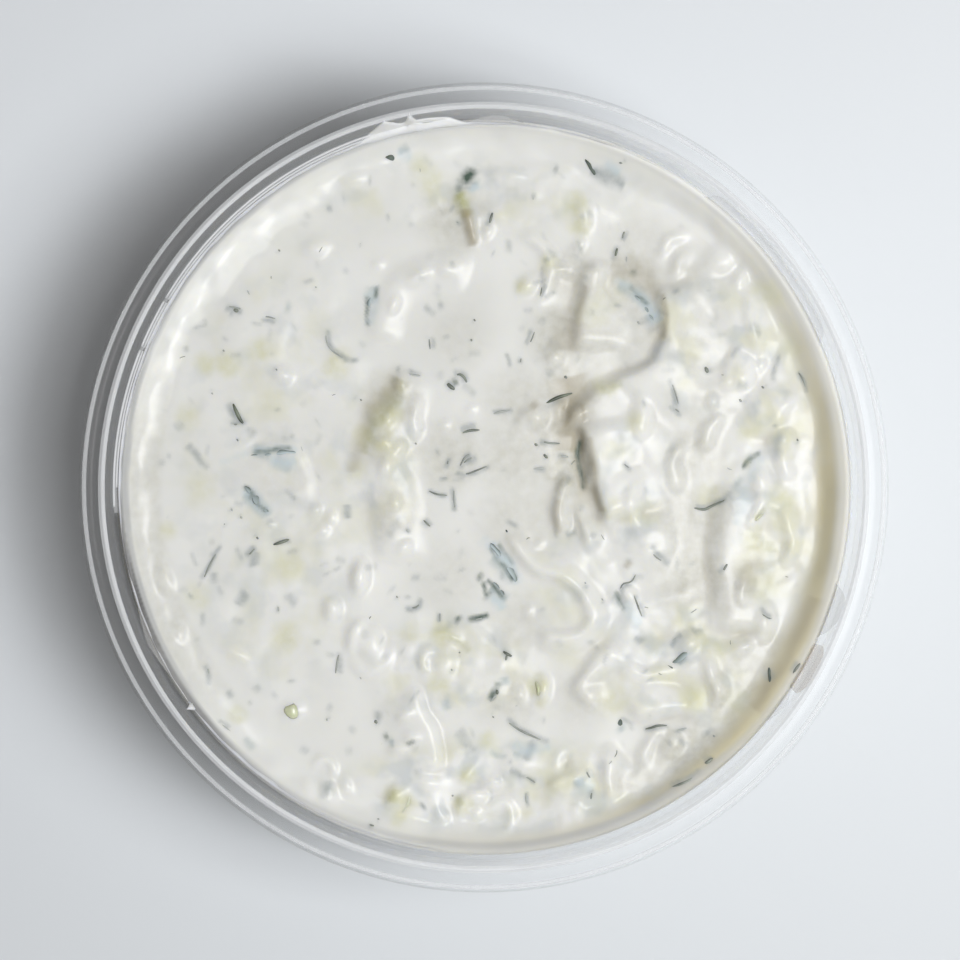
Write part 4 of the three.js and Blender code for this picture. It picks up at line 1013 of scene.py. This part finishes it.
class Paint:
    """A new material and the nodes that its colours are mixed with."""

    def __init__(self, name):
        self.material = bpy.data.materials.new(name)
        self.material.use_nodes = True
        self.nodes, self.links = self.material.node_tree.nodes, self.material.node_tree.links
        self.inputs = self.nodes["Principled BSDF"].inputs
        self.place = self.nodes.new("ShaderNodeTexCoord")

    def set(self, name, value):
        self.inputs[name].default_value = value

    def cover(self, colour):
        self.links.new(colour, self.inputs["Base Color"])

    def noise(self, scale, detail):
        node = self.nodes.new("ShaderNodeTexNoise")
        node.inputs["Scale"].default_value = scale
        node.inputs["Detail"].default_value = detail
        self.links.new(self.place.outputs["Object"], node.inputs["Vector"])
        return node.outputs["Fac"]

    def ramp(self, source, low, dark, high, light):
        """One colour up to a low value of the source, another from a high value on."""
        node = self.nodes.new("ShaderNodeValToRGB")
        self.links.new(source, node.inputs["Fac"])
        first, second = node.color_ramp.elements
        first.position, first.color = low, (*dark, 1)
        second.position, second.color = high, (*light, 1)
        return node.outputs["Color"]

    def grey(self, source, low, dark, high, light):
        return self.ramp(source, low, (dark,) * 3, high, (light,) * 3)

    def bump(self, height, strength, distance):
        node = self.nodes.new("ShaderNodeBump")
        node.inputs["Strength"].default_value = strength
        node.inputs["Distance"].default_value = distance
        self.links.new(height, node.inputs["Height"])
        self.links.new(node.outputs["Normal"], self.inputs["Normal"])

    def mix(self, share, colour, tint):
        node = self.nodes.new("ShaderNodeMix")
        node.data_type = "RGBA"
        self.links.new(share, node.inputs[0])
        self.links.new(colour, node.inputs[6])
        node.inputs[7].default_value = (*tint, 1)
        return node.outputs[2]

    def tinted(self, colour, key, tint, full, breakup):
        """The colour mixed towards a tint as far as a named attribute says, broken up by noise."""
        share = self.nodes.new("ShaderNodeAttribute")
        share.attribute_name = key
        scaled = self.nodes.new("ShaderNodeMath")
        scaled.operation = "MULTIPLY"
        scaled.inputs[1].default_value = full
        self.links.new(share.outputs["Fac"], scaled.inputs[0])
        uneven = self.nodes.new("ShaderNodeMath")
        uneven.operation = "MULTIPLY"
        uneven.use_clamp = True
        self.links.new(scaled.outputs[0], uneven.inputs[0])
        self.links.new(breakup, uneven.inputs[1])
        return self.mix(uneven.outputs[0], colour, tint)


def make_plastic():
    paint = Paint("clear_plastic")
    paint.set("Transmission Weight", 0.97)
    paint.set("IOR", 1.32)
    paint.set("Alpha", 0.18)
    paint.set("Base Color", (0.99, 0.995, 0.995, 1))
    paint.links.new(paint.grey(paint.noise(90, 3), 0.3, 0.17, 0.7, 0.25), paint.inputs["Roughness"])
    return paint.material


def make_haze(name, alpha):
    """Plastic that is milky where it is thick, and that on the ledge stands for painted glints."""
    paint = Paint(name)
    paint.cover(paint.ramp(paint.noise(120, 3), 0.3, (0.78, 0.80, 0.82), 0.7, (0.84, 0.86, 0.88)))
    paint.set("Alpha", alpha)
    paint.set("Roughness", 0.45)
    paint.set("Specular IOR Level", 0.1)
    return paint.material


def make_yoghurt():
    paint = Paint("yoghurt")
    patches, fine = paint.noise(95, 3), paint.noise(700, 3)
    base = paint.ramp(patches, 0.3, (0.705, 0.713, 0.687), 0.7, (0.755, 0.763, 0.743))
    uneven = paint.grey(fine, 0.3, 0.6, 0.7, 1.3)
    calm = paint.grey(patches, 0.3, 0.85, 0.7, 1.1)
    blotchy = paint.grey(paint.noise(520, 2), 0.38, 0.6, 0.62, 1.4)
    green_marbling = paint.grey(paint.noise(170, 2), 0.5, 0, 0.66, 1)
    grey_marbling = paint.grey(paint.noise(230, 2), 0.5, 0, 0.66, 1)
    for key, tint, full, breakup in (
        # painted light
        ("pale", (0.86, 0.87, 0.84), 0.8, calm),
        # painted shade
        ("shaded", (0.50, 0.495, 0.43), 0.8, uneven),
        # painted shade on the slope facing away from the lamp
        ("beige_shade", (0.57, 0.535, 0.39), 1.0, calm),
        ("crowd", (0.64, 0.64, 0.49), 0.7, green_marbling),
        ("crowd", (0.50, 0.54, 0.55), 0.6, grey_marbling),
        ("fleshed", (0.62, 0.62, 0.43), 0.75, uneven),
        ("greened", (0.41, 0.47, 0.47), 0.9, uneven),
        ("sunk", (0.26, 0.30, 0.31), 0.9, uneven),
        # painted shade in the hollows and the deeper creases
        ("hollow_shade", (0.58, 0.55, 0.46), 0.6, calm),
        ("deep", (0.33, 0.31, 0.25), 0.5, calm),
        ("veil", (0.55, 0.63, 0.66), 0.8, uneven),
        ("olive", (0.39, 0.40, 0.21), 0.75, uneven),
        # painted shade in the folds
        ("brown_shade", (0.345, 0.31, 0.225), 0.85, calm),
        ("core", (0.09, 0.13, 0.105), 0.9, blotchy),
        # partly painted shade by the wall
        ("film_shade", (0.44, 0.45, 0.45), 0.9, calm),
        # painted shadow by the wall
        ("gap_shadow", (0.12, 0.12, 0.12), 0.9, calm),
    ):
        base = paint.tinted(base, key, tint, full, breakup)
    paint.cover(base)
    paint.set("Roughness", 0.28)
    paint.set("IOR", 1.25)
    paint.set("Subsurface Weight", 0.6)
    paint.set("Subsurface Radius", (0.0021, 0.0019, 0.0013))
    paint.set("Subsurface Scale", 1.0)
    paint.bump(fine, 0.08, 0.0001)
    return paint.material


def make_thin_yoghurt(name, dark, light, alpha):
    """Yoghurt so thin on the wall that light passes through."""
    paint = Paint(name)
    paint.cover(paint.ramp(paint.noise(300, 3), 0.3, dark, 0.7, light))
    paint.set("Alpha", alpha)
    paint.set("Roughness", 0.4)
    paint.set("Specular IOR Level", 0.2)
    return paint.material


def make_dill():
    paint = Paint("dill")
    mottle = paint.noise(500, 2)
    tone = paint.ramp(mottle, 0.35, (0.055, 0.070, 0.050), 0.7, (0.19, 0.22, 0.165))
    cover = paint.grey(mottle, 0.3, 0.8, 0.7, 1.2)
    paint.cover(paint.tinted(tone, "coat", (0.52, 0.55, 0.54), 1.0, cover))
    paint.set("Roughness", 0.45)
    return paint.material


def make_skin():
    paint = Paint("cucumber_skin")
    tone = paint.ramp(paint.noise(420, 3), 0.35, (0.030, 0.042, 0.032), 0.68, (0.14, 0.17, 0.14))
    cover = paint.grey(paint.noise(260, 2), 0.35, 0.7, 0.65, 1.4)
    paint.cover(paint.tinted(tone, "mint", (0.47, 0.55, 0.57), 1.0, cover))
    paint.set("Specular IOR Level", 0.2)
    paint.set("Roughness", 0.6)
    return paint.material


def make_flesh():
    paint = Paint("cucumber_flesh")
    paint.cover(paint.ramp(paint.noise(380, 3), 0.3, (0.50, 0.54, 0.33), 0.7, (0.66, 0.69, 0.55)))
    paint.set("Roughness", 0.3)
    paint.set("Subsurface Weight", 0.4)
    paint.set("Subsurface Radius", (0.0010, 0.0012, 0.0006))
    paint.set("Subsurface Scale", 1.0)
    return paint.material


def make_floor_paint():
    """Pale paint that darkens slowly towards -Y, as painted shade where the lamp's light falls off.
    """
    paint = Paint("pale_table")
    tone = paint.ramp(paint.noise(6, 3), 0.3, (0.74, 0.777, 0.813), 0.7, (0.76, 0.797, 0.833))
    across = paint.nodes.new("ShaderNodeSeparateXYZ")
    paint.links.new(paint.place.outputs["Object"], across.inputs["Vector"])
    nearer = paint.nodes.new("ShaderNodeMapRange")
    nearer.inputs["From Min"].default_value = 40 * MM
    nearer.inputs["From Max"].default_value = -110 * MM
    paint.links.new(across.outputs["Y"], nearer.inputs["Value"])
    paint.cover(paint.mix(nearer.outputs["Result"], tone, (0.65, 0.685, 0.715)))
    paint.set("Roughness", 0.6)
    return paint.material


# ---- Tub ----

# How far its corners are cut back before they are rounded. Then how far the outside turns
# below the inside at the wall's top and at the ledge, and how far out from the recess's lower
# corners its upper ones lie.
FOOT_CUT = 0.4
CORNER_CUT = 0.3
UNDER_WALL_TOP = 0.4
UNDER_LEDGE = 0.2
RECESS_SHIFT = 0.3


def crest(half_width, above, count):
    """Points over the seal ring's low crest, from the outside in."""
    return [
        (
            CREST_MIDDLE - half_width * share,
            FLANGE_TOP + CREST_HEIGHT * (0.5 + 0.5 * math.cos(math.pi * share)) + above,
        )
        for share in np.linspace(-1, 1, count)
    ]


def tub_profile():
    """The section of the tub from the axis outwards under it, over the rim and back inside."""
    under = rounded([
        (0, RECESS, 0),
        (RECESS_RADIUS - RECESS, RECESS, FOOT_CUT),
        (RECESS_RADIUS, 0, FOOT_CUT),
        (FOOT_RADIUS, 0, 0),
    ])[:-1]
    under += arc(FOOT_RADIUS, HEEL_RADIUS, HEEL_RADIUS, -90, 0, 10)
    under += rounded([
        (FOOT_RADIUS + HEEL_RADIUS, HEEL_RADIUS, 0),
        (LEDGE_INNER + WALL, WALL_TOP - UNDER_WALL_TOP, CORNER_CUT),
        (LEDGE_RADIUS + WALL, LEDGE_TOP - UNDER_LEDGE, CORNER_CUT),
        (SEAL_RADIUS + WALL, FLANGE_TOP - WALL, CORNER_CUT),
        (FLANGE_END, FLANGE_TOP - WALL, 0),
    ])[1:]
    under += arc(*BEAD_CENTRE, BEAD_RADIUS - WALL, 120, 0, 5)
    skirt = [
        (RIM_RADIUS - WALL, TUB_HEIGHT - SKIRT_DEPTH),
        (RIM_RADIUS, TUB_HEIGHT - SKIRT_DEPTH),
    ]
    over = arc(*BEAD_CENTRE, BEAD_RADIUS, 0, 125, 16)
    over += rounded([
        (FLANGE_END + 0.4, FLANGE_TOP + 0.12, 0),
        (FLANGE_END, FLANGE_TOP, 0.2),
        (CREST_MIDDLE + CREST_WIDTH / 2, FLANGE_TOP, 0),
    ])[1:-1]
    over += crest(CREST_WIDTH / 2, 0, 17)
    inside = rounded([
        (CREST_MIDDLE - CREST_WIDTH / 2, FLANGE_TOP, 0),
        (SEAL_RADIUS, FLANGE_TOP - SEAL_DIP, 0.14),
        (LEDGE_RADIUS, LEDGE_TOP, CORNER_CUT),
        (LEDGE_INNER, WALL_TOP, CORNER_CUT),
        (WALL_FOOT, HEEL_RADIUS, 0),
    ])[1:-1]
    inside += arc(FOOT_RADIUS, HEEL_RADIUS, INNER_HEEL, 0, -90, 8)
    inside += rounded([
        (FOOT_RADIUS, WALL, 0),
        (RECESS_RADIUS + RECESS_SHIFT, WALL, FOOT_CUT),
        (RECESS_RADIUS - RECESS + RECESS_SHIFT, RECESS + WALL, FOOT_CUT),
        (0, RECESS + WALL, 0),
    ])[1:]
    return under + skirt + over + inside


def make_tub():
    points, faces = lathe(supported(tub_profile()), TUB_SEGMENTS)
    piece = add_piece("clear_tub", points, faces, make_plastic())
    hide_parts("tub")


def ring_body(top, thickness, start=0, end=360):
    """Points and faces of a thin closed ring, or an arc of one in degrees, its top given as r
    and z from the inside out."""
    loop = list(top) + [(r, z - thickness) for r, z in reversed(top)]
    whole = end - start == 360
    steps = max(2, round(TUB_SEGMENTS * (end - start) / 360))
    points, faces = [], []
    for i in range(steps if whole else steps + 1):
        angle = math.radians(start + (end - start) * i / steps)
        points.extend((r * math.cos(angle), r * math.sin(angle), z) for r, z in loop)
    row = len(loop)
    for i in range(steps):
        a, b = i * row, (i + 1) % steps * row if whole else (i + 1) * row
        for k in range(row):
            m = (k + 1) % row
            faces.append((a + k, a + m, b + m, b + k))
    if not whole:
        faces.append(tuple(range(row))[::-1])
        faces.append(tuple(steps * row + k for k in range(row)))
    return points, faces


def make_hazy_rings():
    """The milky tops of the seal ring, the bead and the ledge, and painted glints on the ledge. The
    ledge's milky arc and glints lie only on the side away from the lamp, where its edges catch light.
    """
    above = 0.05
    seal = crest(0.48 * CREST_WIDTH, above, 13)[::-1]
    bead = arc(*BEAD_CENTRE, BEAD_RADIUS + above, 75, 125, 8)[::-1]
    ledge = [(LEDGE_INNER + 0.1, WALL_TOP + above + 0.06), (LEDGE_RADIUS - 0.08, LEDGE_TOP + above)]
    for name, top, alpha, start, end in (
        ("seal_haze", seal, 0.48, 0, 360),
        ("bead_haze", bead, 0.24, 0, 360),
        # the ledge's arc lies only on the side away from the lamp, as a painted glint
        ("ledge_haze_and_glint", ledge, 0.2, 96, 184),
    ):
        points, faces = ring_body(top, 0.03, start, end)
        add_piece(name, points, faces, make_haze(name, alpha))
    # Painted glints: milky bands where the ledge's edges catch light.
    glints = Gathered()
    for inner, outer, start, end in LEDGE_GLINTS:
        top = [
            (LEDGE_INNER + (LEDGE_RADIUS - LEDGE_INNER) * share,
             WALL_TOP + (LEDGE_TOP - WALL_TOP) * share + 2 * above)
            for share in (inner, outer)
        ]
        points, faces = ring_body(top, 0.02, start, end)
        glints.add(points, faces, [])
    add_piece("ledge_glint", glints.points, glints.faces, make_haze("ledge_glint", 0.65))


# ---- Dip ----


def disc_points(edge, rings):
    xs, ys = [0.0], [0.0]
    for ring in range(1, rings + 1):
        angles = 2 * np.pi * np.arange(6 * ring) / (6 * ring)
        xs.extend(edge * ring / rings * np.cos(angles))
        ys.extend(edge * ring / rings * np.sin(angles))
    return np.array(xs), np.array(ys)


def disc_faces(rings):
    """Triangles of a disc whose rings each have six more points than the last."""
    faces = []
    inner, outer = 0, 1
    for ring in range(rings):
        inner_count, outer_count = max(6 * ring, 1), 6 * (ring + 1)
        for sector in range(6):
            for i in range(ring + 1):
                inside = inner + (sector * ring + i) % inner_count
                outside = outer + sector * (ring + 1) + i
                following = outer + (sector * (ring + 1) + i + 1) % outer_count
                faces.append((inside, outside, following))
                if i < ring:
                    beside = inner + (sector * ring + i + 1) % inner_count
                    faces.append((inside, following, beside))
        inner, outer = outer, outer + outer_count
    return faces, inner


def make_dip(material):
    """The dip's surface, then its side and underside, a little way into the clear wall."""
    x, y = disc_points(wall_radius(DIP_LEVEL + EDGE_RISE) + INTO_WALL, DIP_RINGS)
    points = list(np.column_stack([x, y, surface(x, y)]))
    tints = {key: on_grid(field, x, y) for key, field in TINTS.items()}
    faces, inner = disc_faces(DIP_RINGS)
    count = 6 * DIP_RINGS
    side = [
        (wall_radius(HEEL_RADIUS) + INTO_WALL, HEEL_RADIUS),
        *arc(FOOT_RADIUS, HEEL_RADIUS, INNER_HEEL + INTO_WALL, -15, -90, 5),
        (RECESS_RADIUS + 0.2, WALL - INTO_WALL),
        (RECESS_RADIUS - RECESS + 0.2, RECESS + WALL - INTO_WALL),
    ]
    angles = 2 * np.pi * np.arange(count) / count
    for radius, z in side:
        outer = len(points)
        ring = np.column_stack([radius * np.cos(angles), radius * np.sin(angles), np.full(count, z)])
        points.extend(ring)
        for i in range(count):
            j = (i + 1) % count
            faces.append((inner + i, outer + i, outer + j, inner + j))
        inner = outer
    middle = len(points)
    points.append(np.array([0, 0, RECESS + WALL - INTO_WALL]))
    faces.extend((inner + i, middle, inner + (i + 1) % count) for i in range(count))
    below = np.ones(len(points) - len(x))
    tints = {key: np.concatenate([values, below * (SIDE_CROWD if key == "crowd" else 0)])
             for key, values in tints.items()}
    piece = add_piece("dip_surface", points, faces, material, tints)
    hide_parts("dip")


def apart(degrees, azimuth):
    """How many degrees an azimuth lies anticlockwise of another, from -180 to 180."""
    return (degrees - azimuth + 180) % 360 - 180


def smear_reach(degrees, smears, least):
    """How far up the wall the smears reach at an azimuth. On the side away from the window they
    also cover a little of the wall everywhere."""
    away_side = float(smooth(1.5 * (1 - abs(apart(degrees, 135)) / 70)))
    climb = 0.3 - least + 0.12 * around_noise(math.radians(degrees), 4.0)
    reach = least + climb * away_side
    for azimuth, half_width, length, blunt in smears:
        away = min(1, abs(apart(degrees, azimuth)) / half_width)
        if blunt == ROUND:
            share = math.sqrt(1 - away ** 2)
        else:
            share = float(smooth(blunt * (1 - away) / 2)) / float(smooth(blunt / 2))
        reach = max(reach, length * share)
    return reach


def pinched(degrees, share):
    """An azimuth drawn towards the lobe's middle, most at the foot of its narrow neck."""
    away = apart(degrees, LOBE_AZIMUTH)
    return degrees - 0.55 * away * (1 - share) * float(smooth(1.2 - abs(away) / 9))


def make_smears(name, smears, thickness, least, material):
    """A thin smear of yoghurt up the inside of the wall, over the ledge where it reaches."""
    below_edge, into_wall = 0.6, 0.1
    around, steps = 900, 14
    start = DIP_LEVEL + EDGE_RISE - below_edge
    path = np.array([
        (wall_radius(start), start), (LEDGE_INNER, WALL_TOP), (LEDGE_RADIUS, LEDGE_TOP),
        (SEAL_RADIUS, FLANGE_TOP - SEAL_DIP), (CREST_MIDDLE, FLANGE_TOP + CREST_HEIGHT),
    ])
    lengths = np.concatenate([[0], np.cumsum(np.hypot(*np.diff(path, axis=0).T))])

    def on_path(at):
        return np.interp(at, lengths, path[:, 0]), np.interp(at, lengths, path[:, 1])

    points, faces, pale = [], [], []
    for i in range(around):
        degrees = 360 * i / around
        reach = below_edge + smear_reach(degrees, smears, least)
        # Painted light: the smears at the peaks are paler, as they face the lamp.
        in_peaks = float(smooth(1.5 * (1 - abs(apart(degrees, 103)) / 12)))
        pale.extend([in_peaks] * 2 * (steps + 1))
        for step in range(steps + 1):
            at = reach * step / steps
            angle = math.radians(pinched(degrees, min(1, at / LOBE_REACH)))
            (r, z), (ahead_r, ahead_z) = on_path(at), on_path(at + 0.1)
            lean = math.atan2(ahead_z - z, ahead_r - r)
            lumpy = 1 + 0.3 * math.sin(37 * angle + 5 * at) * math.sin(23 * angle + 2)
            thick = thickness * lumpy * math.sqrt(1 - (step / steps) ** 2) + 0.01
            for away in (thick, -into_wall):
                far = r - away * math.sin(lean)
                points.append((far * math.cos(angle), far * math.sin(angle),
                               z + away * math.cos(lean)))
    row = 2 * (steps + 1)
    for i in range(around):
        a, b = i * row, (i + 1) % around * row
        for k in range(0, row - 2, 2):
            faces.append((a + k, a + k + 2, b + k + 2, b + k))
            faces.append((a + k + 1, b + k + 1, b + k + 3, a + k + 3))
        faces.append((a, b, b + 1, a + 1))
        faces.append((a + row - 2, a + row - 1, b + row - 1, b + row - 2))
    add_piece(name, points, faces, material, {"pale": pale})


# ---- Dill and cucumber ----

DILL_SLIM = 0.95


def bent(x, y, along, up, turn, bend):
    """A short line round its middle, from its half lengths across and up, its middle moved
    aside by the bend."""
    return [(x - along, y - up), (x - bend * math.sin(turn), y + bend * math.cos(turn)),
            (x + along, y + up)]


def swelling(count, power):
    """Shares along a line, and how thick it is there: 0 at both ends and 1 in the middle."""
    share = np.linspace(0, 1, count)
    return share, np.clip(4 * share * (1 - share), 0, 1) ** power


def add_thread(gathered, line, radius, sink_start, sink_end, coat):
    """A tapered thread lying on the dip, its ends sunk by so much."""
    curve = curved(line, 5)
    share, swell = swelling(len(curve), 0.5)
    radii = radius * (0.2 + 0.8 * swell)
    sink = sink_start * (1 - share) ** 2 + sink_end * share ** 2
    z = surface(curve[:, 0], curve[:, 1]) + 0.1 * radius - sink
    points, faces, _ = tube(np.column_stack([curve, z]), radii, radii, 0, 6)
    gathered.add(points, faces, [coat] * len(points))


def pressed(points):
    """Points laid out flat, as length round the tub, height and depth, brought to the face of
    the dip behind the wall."""
    x, z, out = np.asarray(points).T
    radius = wall_radius(z) + INTO_WALL + out
    angle = x / WALL_FOOT
    return list(np.column_stack([radius * np.cos(angle), radius * np.sin(angle), z]))


def make_pressed_bits(name, material, key, count, lengths, half_widths, seed):
    """Bits that lie flat against the inside of the wall, seen from the side through it."""
    draw = random.Random(seed)
    bits = Gathered()
    for _ in range(count):
        x = draw.uniform(0, 2 * math.pi * WALL_FOOT)
        z = draw.uniform(HEEL_RADIUS + 3, DIP_LEVEL - 4)
        turn, length = draw.uniform(0, math.pi), draw.uniform(*lengths)
        bend, half_width = draw.uniform(-0.15, 0.15) * length, draw.uniform(*half_widths)
        along, up = length / 2 * math.cos(turn), length / 2 * math.sin(turn)
        curve = curved(bent(x, z, along, up, turn, bend), 5)
        widths = half_width * (0.2 + 0.8 * swelling(len(curve), 0.5)[1])
        heights = np.full(len(curve), 0.05)
        path = np.column_stack([curve, np.zeros(len(curve))])
        points, faces, _ = tube(path, widths, heights, 0, 8)
        mark = draw.uniform(0.3, 0.9)
        bits.add(pressed(points), [face[::-1] for face in faces], [mark] * len(points))
    add_piece(name, bits.points, bits.faces, material, {key: bits.marks})


def make_dill_threads(dill):
    draw = random.Random(31)
    threads = Gathered()
    for radius, line in DILL:
        thin = radius < 0.23
        deeper = 0.4 if thin else 0.0
        coat = draw.uniform(0.2, 0.75) if thin else draw.uniform(0.0, 0.3)
        radius *= DILL_SLIM
        add_thread(threads, line, radius, radius * (deeper + draw.uniform(0.2, 1.6)),
                   radius * (deeper + draw.uniform(0.2, 1.8)), coat)
    for _ in range(24):
        x, y = random_spot(draw, 47.5, 47.5)
        turn, length = draw.uniform(0, 2 * math.pi), draw.uniform(0.5, 1.5)
        along, up = length / 2 * math.cos(turn), length / 2 * math.sin(turn)
        line = bent(x + along, y + up, along, up, turn, draw.uniform(-0.15, 0.15))
        radius = draw.uniform(0.06, 0.11)
        add_thread(threads, line, radius, radius * draw.uniform(0.5, 2),
                   radius * draw.uniform(0.5, 2), draw.uniform(0.3, 0.8))
    add_piece("dill_threads", threads.points, threads.faces, dill, {"coat": threads.marks})


def add_strip(gathered, line, half_width, tilt, mint, thickness, lift):
    """A flat shred with frayed edges on the dip, its right edge as mint as is said."""
    curve = curved(line, 8)
    _, swell = swelling(len(curve), 0.6)
    ragged = on_grid(RAGGED, curve[:, 0], curve[:, 1])
    widths = half_width * (0.12 + 0.88 * swell) * (1 + 0.5 * ragged)
    heights = thickness * (0.4 + 0.6 * swell)
    z = surface(curve[:, 0], curve[:, 1]) + lift + 0.2 * on_grid(RAGGED, curve[:, 1], curve[:, 0])
    points, faces, across = tube(np.column_stack([curve, z]), widths, heights, tilt, 10)
    gathered.add(points, faces, [mint * (0.5 + 0.5 * a) for a in across])


def make_cucumber(skin):
    skins, flesh = Gathered(), Gathered()
    for half_width, tilt, mint, line in SKINS:
        add_strip(skins, line, 0.8 * half_width, 0.6 * tilt, mint, 0.12, -0.11)
    for half_width, tilt, line in FLESH:
        add_strip(flesh, line, half_width, tilt, 0, 0.3, -0.2)
    add_piece("skin_strips", skins.points, skins.faces, skin,
              {"mint": skins.marks})
    add_piece("flesh_strips", flesh.points, flesh.faces, make_flesh())


# ---- Stage, light and camera ----

FRAME_PIXELS = 960
RIM_PIXELS = 811
RIM_CENTRE_PIXELS = (483.7, 487.5)
CAMERA_ABOVE_RIM = 600 * MM
SENSOR = 36.0


def make_stage():
    half = 900 * MM
    mesh = bpy.data.meshes.new("table")
    mesh.from_pydata([(-half, -half, 0), (half, -half, 0), (half, half, 0), (-half, half, 0)],
                     [], [(0, 1, 2, 3)])
    mesh.materials.append(make_floor_paint())
    table = bpy.data.objects.new("table", mesh)
    bpy.context.scene.collection.objects.link(table)


def make_light(name, azimuth, elevation, distance, width, height, power):
    """A square-cornered white lamp that looks at the tub from an azimuth counted from +X."""
    lamp = bpy.data.lights.new(name, "AREA")
    lamp.shape = "RECTANGLE"
    lamp.size = width
    lamp.size_y = height
    lamp.energy = power
    holder = bpy.data.objects.new(name, lamp)
    around, up = math.radians(azimuth), math.radians(elevation)
    holder.location = (
        distance * math.cos(up) * math.cos(around),
        distance * math.cos(up) * math.sin(around),
        distance * math.sin(up),
    )
    holder.rotation_euler = (math.radians(90) - up, 0, around + math.radians(90))
    bpy.context.scene.collection.objects.link(holder)


def make_world(colour, strength):
    world = bpy.data.worlds.new("soft_room")
    world.use_nodes = True
    background = world.node_tree.nodes["Background"]
    background.inputs["Color"].default_value = (*colour, 1)
    background.inputs["Strength"].default_value = strength
    bpy.context.scene.world = world


def make_camera():
    pixel = 2 * RIM_RADIUS * MM / RIM_PIXELS
    middle = FRAME_PIXELS / 2
    camera = bpy.data.cameras.new("camera")
    camera.sensor_width = SENSOR
    camera.lens = SENSOR * CAMERA_ABOVE_RIM / (pixel * FRAME_PIXELS)
    camera.clip_start = 0.01
    holder = bpy.data.objects.new("camera", camera)
    holder.location = (
        (middle - RIM_CENTRE_PIXELS[0]) * pixel,
        (RIM_CENTRE_PIXELS[1] - middle) * pixel,
        TUB_HEIGHT * MM + CAMERA_ABOVE_RIM,
    )
    bpy.context.scene.collection.objects.link(holder)
    bpy.context.scene.camera = holder


make_tub()
make_hazy_rings()
yoghurt = make_yoghurt()
make_dip(yoghurt)
# The lobe's beige-pink is partly its own tone and partly painted shade, as it lies on the wall that
# faces away from the lamp.
lobe_yoghurt = make_thin_yoghurt("lobe_yoghurt", (0.80, 0.65, 0.50), (0.90, 0.79, 0.67), 0.20)
thin_yoghurt = make_thin_yoghurt("thin_yoghurt", (0.84, 0.84, 0.84), (0.90, 0.90, 0.90), 0.12)
make_smears("thick_smears", THICK_SMEARS, thickness=0.36, least=-0.25, material=yoghurt)
make_smears("lobe_smear", LOBE_SMEARS, thickness=0.06, least=-0.55, material=lobe_yoghurt)
make_smears("thin_smears", THIN_SMEARS, thickness=0.10, least=-0.55, material=thin_yoghurt)
dill, skin = make_dill(), make_skin()
make_dill_threads(dill)
make_pressed_bits("pressed_dill", dill, "coat",
                  count=110, lengths=(1.5, 6.0), half_widths=(0.12, 0.24), seed=61)
make_cucumber(skin)
make_pressed_bits("pressed_skin", skin, "mint",
                  count=50, lengths=(2.0, 7.0), half_widths=(0.3, 0.7), seed=62)
make_stage()
make_light("window", azimuth=-15, elevation=71, distance=0.6, width=0.15, height=0.21, power=3.0)
make_world(colour=(1.0, 0.955, 0.925), strength=0.20)
make_camera()
bpy.context.scene.view_settings.view_transform = "Standard"
